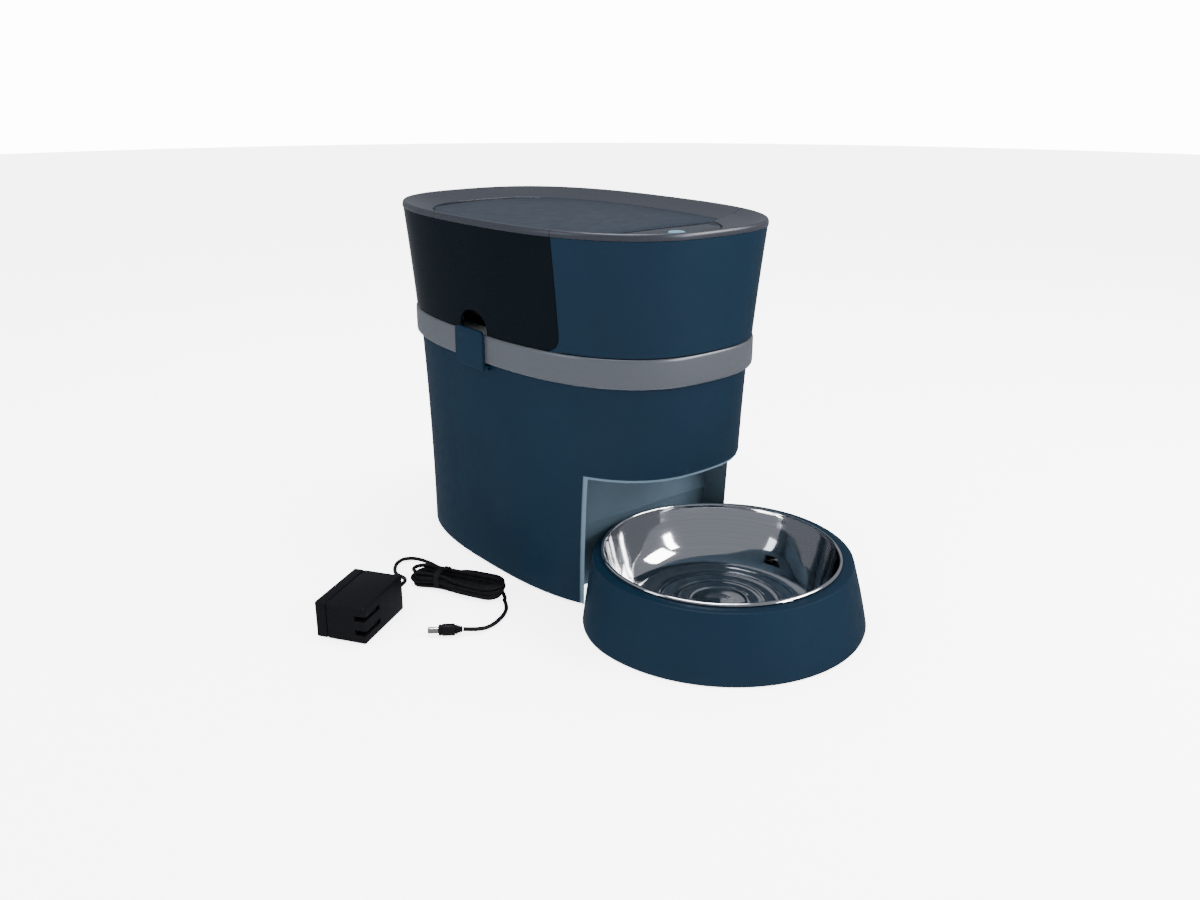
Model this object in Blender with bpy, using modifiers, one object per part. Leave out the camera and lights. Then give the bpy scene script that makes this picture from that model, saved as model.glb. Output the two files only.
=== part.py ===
"""Automatic pet feeder: hopper and lid on a conveyor base, bowl on a pull-out holder, adapter and cord.

Metres, +Z up. The origin is on the floor, midway from the bowl's front to the back of the rim;
the bowl faces -Y and the feeder is symmetric about X = 0.
"""
import math

import bmesh
import bpy
from mathutils import Matrix, Vector

# ---------------------------------------------------------------- driving dimensions
TOTAL_HEIGHT = 0.325            # floor to the top of the rim
BAND_HALF_LENGTH = 0.180        # plan shape of the body, measured round the silver band
BAND_HALF_WIDTH = 0.1125
SQUARENESS = 2.645              # exponent of the plan's superellipse
OVAL_POINTS = 44
STRAIGHT_POINTS = 7             # points along the flat side of a D-shaped outline

BAND_LOW = 0.2012
BAND_HIGH = 0.2259
BAND_THICKNESS = 0.0040
BASE_UNDERCUT = 0.0044          # base wall inside the band's face, just under the band
BASE_TAPER = 0.0051             # further inset of the base wall at the floor
HOPPER_STEP = 0.0010            # hopper wall inside the band's face, just above the band
HOPPER_FLARE = 0.0076           # how far the hopper wall stands out beyond the band's face at the rim
WALL = 0.0025
SEAM_OFFSET = 0.106             # joint plane between hopper and front tower, ahead of the body's centre

HOLDER_FOOT_RADIUS = 0.1242
HOLDER_RIM_RADIUS = 0.1110
HOLDER_REAR_DEPTH = 0.1045      # bowl centre to the holder's rear edge
HOLDER_HEIGHT = 0.0557
HOLDER_STANDOFF = 0.00765       # holder ahead of the body, at the corners of the bay
BOWL_OPENING_RADIUS = 0.0985
BOWL_FLANGE_RADIUS = 0.1012
BOWL_DEPTH = 0.0470
BOWL_SHEET = 0.0012

BAY_HALF_WIDTH = 0.0852         # chute bay above the bowl
BAY_TOP = 0.1197
PANEL_LOW_Z = HOLDER_HEIGHT + 0.0073    # lip of the sloping back panel, over the holder
LINER_WALL = 0.0020

RIM_WIDTH = 0.0270              # dished ring from the outer edge to the lid
RIM_INNER_Z = TOTAL_HEIGHT - 0.0085
GAP = 0.0003                    # between pieces that touch
CLEAR = 0.0006                  # between pieces that move past each other

BAY_OUTER_HALF = BAY_HALF_WIDTH + LINER_WALL
CUTOUT_HALF = BAY_OUTER_HALF + GAP      # half the width of the housing's cut-out round the bay


def plan_reach(x, inset):
    """How far the body's inset outline reaches ahead of its centre, at x."""
    across = x / (BAND_HALF_WIDTH - inset)
    return (BAND_HALF_LENGTH - inset) * (1 - across ** SQUARENESS) ** (1 / SQUARENESS)


HOLDER_CHORD = HOLDER_REAR_DEPTH * math.sqrt(1 - (CUTOUT_HALF / HOLDER_FOOT_RADIUS) ** 2)
BOWL_REACH = plan_reach(CUTOUT_HALF, BASE_UNDERCUT + BASE_TAPER) + HOLDER_CHORD + HOLDER_STANDOFF
BODY_Y = (BOWL_REACH + HOLDER_FOOT_RADIUS - BAND_HALF_LENGTH - HOPPER_FLARE) / 2
BOWL_Y = BODY_Y - BOWL_REACH
SEAM_Y = BODY_Y - SEAM_OFFSET

# ---------------------------------------------------------------- scene and small tools
for old in list(bpy.data.objects):
    bpy.data.objects.remove(old)

feeder = bpy.data.collections.new("automatic_pet_feeder")
cutters = bpy.data.collections.new("cutters")
for collection in (feeder, cutters):
    bpy.context.scene.collection.children.link(collection)

FINISHES = {                    # colour, roughness, metallic
    "navy_abs": ((0.030, 0.062, 0.105), 0.45, 0.0),
    "smoky_clear": ((0.012, 0.020, 0.028), 0.18, 0.0),
    "silver_paint": ((0.23, 0.25, 0.29), 0.38, 0.6),
    "lid_grey": ((0.09, 0.11, 0.14), 0.35, 0.0),
    "black_gloss": ((0.008, 0.010, 0.014), 0.12, 0.0),
    "button_grey": ((0.30, 0.40, 0.46), 0.4, 0.0),
    "green_board": ((0.02, 0.12, 0.05), 0.5, 0.0),
    "amber_lens": ((0.6, 0.35, 0.08), 0.2, 0.0),
    "white_acetal": ((0.62, 0.62, 0.58), 0.5, 0.0),
    "grey_abs": ((0.16, 0.17, 0.18), 0.5, 0.0),
    "belt_rubber": ((0.03, 0.03, 0.032), 0.75, 0.0),
    "rubber": ((0.015, 0.015, 0.016), 0.8, 0.0),
    "stainless": ((0.60, 0.60, 0.62), 0.08, 1.0),
    "zinc_steel": ((0.50, 0.50, 0.52), 0.35, 1.0),
    "nickel": ((0.55, 0.53, 0.50), 0.25, 1.0),
    "cell_wrap": ((0.10, 0.08, 0.03), 0.3, 0.2),
    "black_abs": ((0.012, 0.012, 0.014), 0.4, 0.0),
    "cord_pvc": ((0.010, 0.010, 0.011), 0.45, 0.0),
}


def finish(name):
    """The Principled material of one finish, made on first use."""
    material = bpy.data.materials.get(name)
    if material is None:
        colour, roughness, metallic = FINISHES[name]
        material = bpy.data.materials.new(name)
        material.use_nodes = True
        shader = material.node_tree.nodes["Principled BSDF"]
        shader.inputs["Base Color"].default_value = (*colour, 1.0)
        shader.inputs["Roughness"].default_value = roughness
        shader.inputs["Metallic"].default_value = metallic
    return material


def place(obj, material):
    """Put an object into the feeder's collection, or among the cutters when it has no material."""
    for holder in list(obj.users_collection):
        holder.objects.unlink(obj)
    if material is None:
        cutters.objects.link(obj)
        obj.hide_render = True
        obj.display_type = "WIRE"
    else:
        feeder.objects.link(obj)
        obj.data.materials.clear()
        obj.data.materials.append(finish(material))
    if obj.type == "MESH":
        obj.data.shade_smooth()
        obj.data.set_sharp_from_angle(angle=math.radians(35))
    return obj


def on_pivot(name, centre, pieces):
    """Parents moving pieces to an empty on their joint's axis, and leaves them where they are."""
    pivot = bpy.data.objects.new(name, None)
    pivot.location = centre
    feeder.objects.link(pivot)
    for piece in pieces:
        piece.parent = pivot
        piece.matrix_parent_inverse = Matrix.Translation(centre).inverted()


def from_bmesh(name, bm, material):
    bmesh.ops.recalc_face_normals(bm, faces=bm.faces)
    mesh = bpy.data.meshes.new(name)
    bm.to_mesh(mesh)
    bm.free()
    return place(bpy.data.objects.new(name, mesh), material)


def bevelled(obj, width, segments=1):
    if width > 0:
        bevel = obj.modifiers.new("edges", "BEVEL")
        bevel.width = width
        bevel.segments = segments
        bevel.limit_method = "ANGLE"
        bevel.angle_limit = math.radians(50)
    return obj


def box(name, low, high, material, edge=0.0):
    """A box from corner to corner."""
    size = [b - a for a, b in zip(low, high)]
    bm = bmesh.new()
    bmesh.ops.create_cube(bm, size=1.0, matrix=Matrix.Diagonal((*size, 1.0)))
    obj = from_bmesh(name, bm, material)
    obj.location = [(a + b) / 2 for a, b in zip(low, high)]
    return bevelled(obj, edge)


def rod(name, centre, radius, length, axis, material, sides=20, edge=0.0):
    """A cylinder whose axis is X, Y or Z."""
    bm = bmesh.new()
    bmesh.ops.create_cone(bm, cap_ends=True, segments=sides, radius1=radius, radius2=radius, depth=length)
    obj = from_bmesh(name, bm, material)
    obj.location = centre
    obj.rotation_euler = {"X": (0, math.pi / 2, 0), "Y": (math.pi / 2, 0, 0), "Z": (0, 0, 0)}[axis]
    return bevelled(obj, edge)


def outline_solid(name, outlines, thickness, centre, plane, material, edge=0.0):
    """A flat outline, with any holes, given a thickness; plane names the two axes the outline lies in."""
    curve = bpy.data.curves.new(name, "CURVE")
    curve.dimensions = "2D"
    curve.fill_mode = "BOTH"
    curve.extrude = thickness / 2
    for outline in outlines:
        spline = curve.splines.new("POLY")
        spline.points.add(len(outline) - 1)
        for point, (u, v) in zip(spline.points, outline):
            point.co = (u, v, 0, 1)
        spline.use_cyclic_u = True
    guide = bpy.data.objects.new(name + "_outline", curve)
    bpy.context.scene.collection.objects.link(guide)
    graph = bpy.context.evaluated_depsgraph_get()
    mesh = bpy.data.meshes.new_from_object(guide.evaluated_get(graph))
    bpy.data.objects.remove(guide)
    bm = bmesh.new()
    bm.from_mesh(mesh)
    bmesh.ops.remove_doubles(bm, verts=bm.verts, dist=1e-6)
    obj = from_bmesh(name, bm, material)
    obj.location = centre
    obj.rotation_euler = {"XY": (0, 0, 0), "XZ": (math.pi / 2, 0, 0),
                          "YZ": (math.pi / 2, 0, math.pi / 2)}[plane]
    return bevelled(obj, edge)


def turned(name, profile, centre, axis, material, steps=32):
    """A lathe shape: (radius, height) pairs down its outer side, closed but for any run on the axis."""
    mesh = bpy.data.meshes.new(name)
    following = profile[1:] + profile[:1]
    count = len(profile)
    edges = [(i, (i + 1) % count) for i in range(count) if profile[i][0] > 0 or following[i][0] > 0]
    mesh.from_pydata([(radius, 0, height) for radius, height in profile], edges, [])
    obj = place(bpy.data.objects.new(name, mesh), material)
    screw = obj.modifiers.new("turn", "SCREW")
    screw.steps = steps
    screw.render_steps = steps
    screw.use_merge_vertices = True
    screw.merge_threshold = 0.00001
    screw.use_smooth_shade = True
    obj.location = centre
    obj.rotation_euler = {"X": (0, math.pi / 2, 0), "Z": (0, 0, 0)}[axis]
    return obj


def boolean(target, tool, operation):
    cut = target.modifiers.new(operation.lower(), "BOOLEAN")
    cut.operation = operation
    cut.object = tool
    return target


def loft(name, rings, material, closed=True):
    """A skin through rings of equal count; closed joins the last ring to the first, else both are capped."""
    bm = bmesh.new()
    rows = [[bm.verts.new(point) for point in ring] for ring in rings]
    pairs = list(zip(rows, rows[1:])) + ([(rows[-1], rows[0])] if closed else [])
    for lower, upper in pairs:
        for i in range(len(lower)):
            j = (i + 1) % len(lower)
            bm.faces.new((lower[i], lower[j], upper[j], upper[i]))
    if not closed:
        bm.faces.new(rows[0])
        bm.faces.new(rows[-1])
    return from_bmesh(name, bm, material)


# ---------------------------------------------------------------- plan outlines of the body
def oval_point(inset, angle):
    """A point of the body's plan, inset from the band's face."""
    c, s = math.cos(angle), math.sin(angle)
    x = (BAND_HALF_WIDTH - inset) * math.copysign(abs(c) ** (2 / SQUARENESS), c)
    y = (BAND_HALF_LENGTH - inset) * math.copysign(abs(s) ** (2 / SQUARENESS), s)
    return x, BODY_Y + y


def oval_ring(inset, z):
    points = [oval_point(inset, 2 * math.pi * i / OVAL_POINTS) for i in range(OVAL_POINTS)]
    return [(x, y, z) for x, y in points]


def seam_angle(inset, seam_y):
    """Angle at which the inset outline crosses the line y = seam_y, on the +X side."""
    share = (seam_y - BODY_Y) / (BAND_HALF_LENGTH - inset)
    return math.asin(math.copysign(abs(share) ** (SQUARENESS / 2), share))


def rear_ring(inset, z, seam_y):
    """The outline behind the seam: round the back from +X to -X, then straight across."""
    start = seam_angle(inset, seam_y)
    arc_points = OVAL_POINTS - STRAIGHT_POINTS
    span = math.pi - 2 * start
    arc = [oval_point(inset, start + span * i / (arc_points - 1)) for i in range(arc_points)]
    return [(x, y, z) for x, y in arc + straight(arc[-1], arc[0])]


def front_ring(inset, z, seam_y):
    """The outline ahead of the seam: round the front from -X to +X, then straight across."""
    start = math.pi - seam_angle(inset, seam_y)
    arc_points = OVAL_POINTS - STRAIGHT_POINTS
    span = 3 * math.pi - 2 * start
    arc = [oval_point(inset, start + span * i / (arc_points - 1)) for i in range(arc_points)]
    return [(x, y, z) for x, y in arc + straight(arc[-1], arc[0])]


def straight(a, b):
    steps = STRAIGHT_POINTS + 1
    return [(a[0] + (b[0] - a[0]) * i / steps, a[1] + (b[1] - a[1]) * i / steps) for i in range(1, steps)]


def base_inset(z):
    """Inset of the base housing's outer face at height z."""
    return BASE_UNDERCUT + BASE_TAPER * (1 - (z / BAND_LOW) ** 2)


HOPPER_LOW = BAND_HIGH + 0.0009
HOPPER_HIGH = TOTAL_HEIGHT - 0.0058


WALL_SECTIONS = (0.0, 0.256, 0.633, 1.0)    # shares of the hopper wall's height


def wall_height(share):
    return HOPPER_LOW + (HOPPER_HIGH - HOPPER_LOW) * share


def hopper_inset(z):
    """Inset of the hopper's outer face at height z; negative where it flares beyond the band."""
    share = (z - HOPPER_LOW) / (HOPPER_HIGH - HOPPER_LOW)
    return HOPPER_STEP - (HOPPER_STEP + HOPPER_FLARE - 0.0006) * (0.85 * share + 0.15 * share * share)


# ---------------------------------------------------------------- base housing, band, floor, deck
HOUSING_LOW = 0.0020
HOUSING_HIGH = BAND_HIGH - 0.0021
FLOOR_LOW = 0.0062
FLOOR_THICKNESS = 0.0025
DECK_THICKNESS = 0.0022
FRONT_CLEAR_Y = BODY_Y - 0.23           # ahead of everything in the body

PIN_Z = BAND_LOW - 0.0037               # latch pins, just under the band
PIN_RADIUS = 0.0009
PIN_X = BAND_HALF_WIDTH - BASE_UNDERCUT + 0.0030
LATCH_Y = BODY_Y + 0.003
LATCH_WIDTH = 0.042
LUG_WIDTH = 0.0030
JACK_X = 0.045
JACK_Z = 0.032
JACK_RADIUS = 0.0055


def make_housing():
    outer_heights = [HOUSING_LOW + 0.0015] + [BAND_LOW * share for share in (0.25, 0.50, 0.70, 0.85)]
    outer_heights.append(BAND_LOW - 0.0007)
    outer = [oval_ring(base_inset(HOUSING_LOW) + 0.001, HOUSING_LOW)]
    outer += [oval_ring(base_inset(z), z) for z in outer_heights]
    neck = BASE_UNDERCUT + 0.0003
    outer += [oval_ring(neck, BAND_LOW), oval_ring(neck, HOUSING_HIGH)]
    inner_heights = (HOUSING_HIGH, 0.85 * BAND_LOW, 0.50 * BAND_LOW, HOUSING_LOW)
    inner = [oval_ring(base_inset(min(z, BAND_LOW)) + WALL + 0.0003, z) for z in inner_heights]
    housing = loft("base_housing", outer + inner, "navy_abs")
    bay = box("bay_cutter", (-CUTOUT_HALF, FRONT_CLEAR_Y, -0.01),
              (CUTOUT_HALF, BODY_Y - 0.09, BAY_TOP + LINER_WALL + GAP), None)
    boolean(housing, bay, "DIFFERENCE")
    for side in (-1, 1):
        for end in (-1, 1):
            y = LATCH_Y + end * (LATCH_WIDTH / 2 + LUG_WIDTH / 2 + CLEAR)
            x_low, x_high = sorted((side * (PIN_X + 0.0022),
                                    side * (BAND_HALF_WIDTH - BASE_UNDERCUT - 0.0012)))
            lug = box(f"lug_{side}_{end}", (x_low, y - LUG_WIDTH / 2, PIN_Z - 0.0024),
                      (x_high, y + LUG_WIDTH / 2, PIN_Z + 0.0024), None)
            boolean(housing, lug, "UNION")
        hole = rod(f"lug_hole_{side}", (side * PIN_X, LATCH_Y, PIN_Z), PIN_RADIUS + GAP, 0.056, "Y", None,
                   12)
        boolean(housing, hole, "DIFFERENCE")
    jack = rod("jack_cutter", (JACK_X, BODY_Y + BAND_HALF_LENGTH, JACK_Z), JACK_RADIUS + GAP, 0.08, "Y",
               None, 24)
    return boolean(housing, jack, "DIFFERENCE")


def make_band():
    low_inside = BASE_UNDERCUT - GAP
    profile = [(0.0014, BAND_LOW), (0.0002, BAND_LOW + 0.0025), (-0.0001, BAND_LOW + 0.010),
               (0.0, BAND_HIGH - 0.0010), (0.0006, BAND_HIGH), (low_inside - 0.0004, BAND_HIGH),
               (low_inside, BAND_HIGH - 0.0010), (low_inside, BAND_LOW)]
    return loft("silver_band", [oval_ring(inset, z) for inset, z in profile], "silver_paint")


def make_deck():
    """Plate across the top of the base with an opening round the hopper's funnel."""
    inset = BASE_UNDERCUT + WALL + 0.0003 + GAP + 0.0003
    high, low = HOUSING_HIGH, HOUSING_HIGH - DECK_THICKNESS
    rim = [oval_ring(inset, low), oval_ring(inset, high)]
    opening = [funnel_ring(rim[0], z, FUNNEL_UNDER, FUNNEL_WALL + FUNNEL_CLEARANCE) for z in (high, low)]
    return loft("base_deck", rim + opening, "grey_abs")


# ---------------------------------------------------------------- hopper and its funnel
FUNNEL_TOP = BAND_HIGH + 0.0261
FUNNEL_UNDER = FUNNEL_TOP - 0.0040      # where the funnel's underside leaves the wall
FUNNEL_CLEARANCE = 0.0038               # between the funnel and the deck's opening
ROLLER_Z = BAY_TOP + 0.0303             # axes of the belt's rollers, over the bay
OUTLET_Z = ROLLER_Z + 0.0290            # foot of the funnel, over the belt
OUTLET_HALF_X = 0.0270
OUTLET_HALF_Y = 0.0330
OUTLET_Y = BODY_Y - 0.030
FUNNEL_WALL = 0.0022
NOTCH_HALF = 0.0200
NOTCH_HIGH = BAND_HIGH + 0.0196


def outlet_point(x, y, grow):
    """The point of the rounded outlet that lies in the direction of (x, y) from the outlet's centre."""
    angle = math.atan2(y - OUTLET_Y, x)
    half_x, half_y = OUTLET_HALF_X + grow, OUTLET_HALF_Y + grow
    reach = (abs(math.cos(angle) / half_x) ** 6 + abs(math.sin(angle) / half_y) ** 6) ** (-1 / 6)
    return reach * math.cos(angle), OUTLET_Y + reach * math.sin(angle)


def funnel_ring(ring, z, start_z, grow):
    """The funnel's section at height z, between the hopper's plan at start_z and the outlet at its foot."""
    share = (start_z - z) / (start_z - OUTLET_Z)
    top = hopper_inset(FUNNEL_TOP) + WALL
    result = []
    for x, y, _ in ring:
        foot = outlet_point(x, y, grow)
        reach = wall_point(x, y, top - grow)
        result.append((reach[0] + (foot[0] - reach[0]) * share, reach[1] + (foot[1] - reach[1]) * share, z))
    return result


def wall_point(x, y, inset):
    """Where the ray from the outlet's centre through (x, y) meets the hopper's D-shaped inner wall."""
    dx, dy = x, y - OUTLET_Y
    low, high = 0.0, 4.0
    for _ in range(40):
        middle = (low + high) / 2
        if inside_hopper(dx * middle, OUTLET_Y + dy * middle, inset):
            low = middle
        else:
            high = middle
    return dx * low, OUTLET_Y + dy * low


def inside_hopper(x, y, inset):
    across = (abs(x) / (BAND_HALF_WIDTH - inset)) ** SQUARENESS
    along = (abs(y - BODY_Y) / (BAND_HALF_LENGTH - inset)) ** SQUARENESS
    return across + along < 1 and y > SEAM_Y + GAP + inset - hopper_inset(FUNNEL_TOP)


def make_hopper():
    face = SEAM_Y + GAP
    heights = [wall_height(share) for share in WALL_SECTIONS]
    outer = [rear_ring(hopper_inset(z), z, face) for z in heights]
    inner = [rear_ring(hopper_inset(z) + WALL, z, face + WALL) for z in (heights[3], heights[2])]
    seat = rear_ring(hopper_inset(FUNNEL_TOP) + WALL, FUNNEL_TOP, face + WALL)
    inner += [seat, funnel_ring(seat, OUTLET_Z, FUNNEL_TOP, 0.0),
              funnel_ring(seat, OUTLET_Z, FUNNEL_TOP, FUNNEL_WALL)]
    under = rear_ring(hopper_inset(FUNNEL_UNDER) + WALL + 0.0004, FUNNEL_UNDER, face + WALL + 0.0004)
    skirt = rear_ring(hopper_inset(HOPPER_LOW) + WALL, HOPPER_LOW, face + WALL)
    hopper = loft("hopper", outer + inner + [under, skirt], "smoky_clear")
    for side in (-1, 1):
        arch = [(-NOTCH_HALF, HOPPER_LOW - 0.01), (NOTCH_HALF, HOPPER_LOW - 0.01)]
        arch += [(NOTCH_HALF * math.cos(a),
                  BAND_HIGH + 0.006 + (NOTCH_HIGH - BAND_HIGH - 0.006) * math.sin(a))
                 for a in (math.pi * i / 8 for i in range(9))]
        notch = outline_solid(f"notch_{side}", [arch], 0.012,
                              (side * (BAND_HALF_WIDTH - 0.001), LATCH_Y - 0.003, 0), "YZ", None)
        boolean(hopper, notch, "DIFFERENCE")
    return lower_seam_wall(hopper, SHELF_Z)


# ---------------------------------------------------------------- rim, lid, tower
SHELF_Z = RIM_INNER_Z - 0.0065  # the lid's seal rests here
SHELF_WIDTH = 0.0030
SHELF_THICKNESS = 0.0020
CHANNEL = WALL + 0.0020         # the rim's channel over the top of the wall
TRIM_WIDTH = 0.0360             # dished ring of the tower, from the outer edge to the lens
LENS_Z = RIM_INNER_Z - 0.0002
LENS_THICKNESS = 0.0016
TRIM_SHELF_Z = LENS_Z - LENS_THICKNESS - GAP


def seam_half_width(inset):
    """Half the width of the body at the seam plane."""
    return oval_point(inset, seam_angle(inset, SEAM_Y))[0]


def lower_seam_wall(shell, centre_z):
    """Cuts the flat seam wall down to centre_z under the lid or lens, and below the rim at its sides."""
    outer = seam_half_width(-HOPPER_FLARE + CHANNEL) + 3 * CLEAR
    inner = seam_half_width(-HOPPER_FLARE + TRIM_WIDTH + SHELF_WIDTH) - 2 * WALL
    rim_z = SHELF_Z - SHELF_THICKNESS - CLEAR
    above = TOTAL_HEIGHT + 0.01
    section = [(-outer, rim_z), (-inner, rim_z), (-inner, centre_z), (inner, centre_z), (inner, rim_z),
               (outer, rim_z), (outer, above), (-outer, above)]
    cutter = outline_solid(shell.name + "_seam_cutter", [section], 4 * WALL, (0, SEAM_Y, 0), "XZ", None)
    return boolean(shell, cutter, "DIFFERENCE")


def make_rim(name, width, shelf_z, seam_side):
    """The dished silver rim on one side of the seam: -1 is the tower's, 1 the hopper's."""
    top, outer = TOTAL_HEIGHT, -HOPPER_FLARE
    profile = [(0.0, HOPPER_HIGH + GAP), (0.0, top - 0.0028), (0.0010, top - 0.0008), (0.0028, top),
               (0.0050, top - 0.0006), (0.0150, top - 0.0048), (width, RIM_INNER_Z), (width, shelf_z),
               (width + SHELF_WIDTH, shelf_z), (width + SHELF_WIDTH, shelf_z - SHELF_THICKNESS),
               (CHANNEL, HOPPER_HIGH - 0.0070), (CHANNEL - 0.0005, HOPPER_HIGH + GAP)]
    rim = loft(name, [oval_ring(outer + inset, z) for inset, z in profile], "silver_paint")
    near, far = SEAM_Y + seam_side * GAP, SEAM_Y - seam_side * 0.4
    low_y, high_y = sorted((near, far))
    cutter = box(name + "_seam_cutter", (-0.2, low_y, shelf_z - 0.05), (0.2, high_y, top + 0.05), None)
    return boolean(rim, cutter, "DIFFERENCE")


def make_lid():
    outward = -HOPPER_FLARE
    edge = outward + RIM_WIDTH + CLEAR
    face = SEAM_Y + GAP + CLEAR
    bottom = SHELF_Z + 0.0026
    rows = [rear_ring(edge, bottom, face), rear_ring(edge, RIM_INNER_Z - 0.0008, face),
            rear_ring(edge + 0.0010, RIM_INNER_Z, face + 0.0010),
            rear_ring(edge + 0.0350, RIM_INNER_Z + 0.0012, face + 0.0500)]
    lid = loft("lid", rows, "lid_grey", closed=False)
    rear = BODY_Y + BAND_HALF_LENGTH - edge
    notch = box("lid_notch", (-LID_NOTCH_HALF, rear - LID_NOTCH_DEPTH, bottom - 0.01),
                (LID_NOTCH_HALF, rear + 0.02, RIM_INNER_Z + 0.01), None)
    boolean(lid, notch, "DIFFERENCE")
    seal_rows = [rear_ring(edge + d, z, face + d) for d, z in
                 ((0.0002, SHELF_Z + GAP), (0.0002, bottom - GAP), (0.0024, bottom - GAP),
                  (0.0024, SHELF_Z + GAP))]
    seal = loft("lid_seal", seal_rows, "rubber")
    latch_rear = rear - 0.0015
    box("lid_latch", (-LID_NOTCH_HALF + 0.0012, latch_rear - 0.0065, bottom + 0.0002),
        (LID_NOTCH_HALF - 0.0012, latch_rear, RIM_INNER_Z - 0.0012), "black_abs", 0.0006)
    on_pivot("lid_pivot", (0, face, RIM_INNER_Z), (lid, seal))


LID_NOTCH_HALF = 0.0220
LID_NOTCH_DEPTH = 0.0115
BUTTON_RADIUS = 0.0075
BUTTON_STEM = 0.0078            # stem's end below the lens
BUTTON_TRAVEL = 0.0012
BUTTON_Y = BODY_Y - 0.1330


def make_tower():
    face = SEAM_Y - GAP
    heights = [wall_height(share) for share in WALL_SECTIONS]
    rows = [front_ring(hopper_inset(z), z, face) for z in heights]
    rows += [front_ring(hopper_inset(z) + WALL, z, face - WALL) for z in reversed(heights)]
    lower_seam_wall(loft("tower_cover", rows, "navy_abs"), TRIM_SHELF_Z)
    make_rim("tower_trim", TRIM_WIDTH, TRIM_SHELF_Z, -1)
    inset = -HOPPER_FLARE + TRIM_WIDTH + 2 * CLEAR
    border = face - GAP
    lens = loft("control_lens", [front_ring(inset, z, border) for z in (LENS_Z - LENS_THICKNESS, LENS_Z)],
                "black_gloss", closed=False)
    hole = rod("button_hole", (0, BUTTON_Y, LENS_Z), BUTTON_RADIUS + CLEAR, 0.02, "Z", None, 24)
    boolean(lens, hole, "DIFFERENCE")
    profile = [(0, 0.0008), (0.0050, 0.0007), (BUTTON_RADIUS, -0.0002), (BUTTON_RADIUS, -0.0035),
               (0.0022, -0.0040), (0.0022, -BUTTON_STEM), (0, -BUTTON_STEM)]
    turned("feed_button", profile, (0, BUTTON_Y, LENS_Z), "Z", "button_grey", 24)
    board_top = LENS_Z - 0.0135
    box("control_board", (-0.034, BODY_Y - 0.149, board_top - 0.0016), (0.034, BODY_Y - 0.111, board_top),
        "green_board")
    box("button_switch", (-0.003, BUTTON_Y - 0.003, board_top + GAP),
        (0.003, BUTTON_Y + 0.003, LENS_Z - BUTTON_STEM - BUTTON_TRAVEL - 0.0002), "black_abs")
    for name, x in (("status_light_left", -0.0070), ("status_light_right", 0.0070)):
        turned(name, [(0, -LENS_THICKNESS - GAP), (0.0014, -0.0030), (0.0016, -0.0050), (0.0016, -0.0130),
                      (0, -0.0130)],
               (x, BODY_Y - 0.1145, LENS_Z), "Z", "amber_lens", 12)


# ---------------------------------------------------------------- latches
TAB_LOW = PIN_Z - 0.0025
TAB_HIGH = BAND_HIGH + 0.0037
TAB_THICKNESS = 0.0032


def make_latch(name, side):
    """Side latch: a tab over the band on a barrel round its pin, with a catch at its top edge."""
    half = LATCH_WIDTH / 2
    corner = 0.005
    outline = [(-half, TAB_LOW), (half, TAB_LOW)]
    outline += [(half - corner + corner * math.cos(a), TAB_HIGH - corner + corner * math.sin(a))
                for a in (math.pi / 2 * i / 4 for i in range(5))]
    outline += [(-half + corner - corner * math.sin(a), TAB_HIGH - corner + corner * math.cos(a))
                for a in (math.pi / 2 * i / 4 for i in range(5))]
    centre_x = BAND_HALF_WIDTH + CLEAR + TAB_THICKNESS / 2
    tab = outline_solid(name, [outline], TAB_THICKNESS, (side * centre_x, LATCH_Y, 0), "YZ", "navy_abs")
    barrel = rod(name + "_barrel", (side * PIN_X, LATCH_Y, PIN_Z), 0.0021, LATCH_WIDTH - 0.001, "Y", None,
                 16)
    boolean(tab, barrel, "UNION")
    web_low, web_high = sorted((side * (PIN_X - 0.0002), side * (centre_x - TAB_THICKNESS / 4)))
    web = box(name + "_web", (web_low, LATCH_Y - half + 0.0008, PIN_Z - 0.0018),
              (web_high, LATCH_Y + half - 0.0008, PIN_Z + 0.0014), None)
    boolean(tab, web, "UNION")
    nose_low, nose_high = sorted((side * (BAND_HALF_WIDTH - HOPPER_STEP + 0.0004), side * centre_x))
    nose = box(name + "_nose", (nose_low, LATCH_Y - 0.008, BAND_HIGH + 0.0008),
               (nose_high, LATCH_Y + 0.008, TAB_HIGH - 0.0006), None)
    boolean(tab, nose, "UNION")
    bore = rod(name + "_bore", (side * PIN_X, LATCH_Y, PIN_Z), PIN_RADIUS + GAP / 3, 0.06, "Y", None, 12)
    boolean(tab, bore, "DIFFERENCE")
    axis = (side * PIN_X, LATCH_Y, PIN_Z)
    rod(name.replace("latch", "latch_pin"), axis, PIN_RADIUS, LATCH_WIDTH + 2 * LUG_WIDTH, "Y", "zinc_steel",
        12)
    on_pivot(name + "_pivot", axis, (tab,))


# ---------------------------------------------------------------- bowl, holder and chute bay
def holder_ring(radius, rear, z):
    """Plan of the holder: round at the front, a shallower half ellipse at the back."""
    ring = []
    for i in range(OVAL_POINTS):
        angle = 2 * math.pi * i / OVAL_POINTS
        depth = rear if math.sin(angle) > 0 else radius
        ring.append((radius * math.cos(angle), BOWL_Y + depth * math.sin(angle), z))
    return ring


WELL_RADIUS = BOWL_OPENING_RADIUS + 0.0012 + CLEAR


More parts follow.
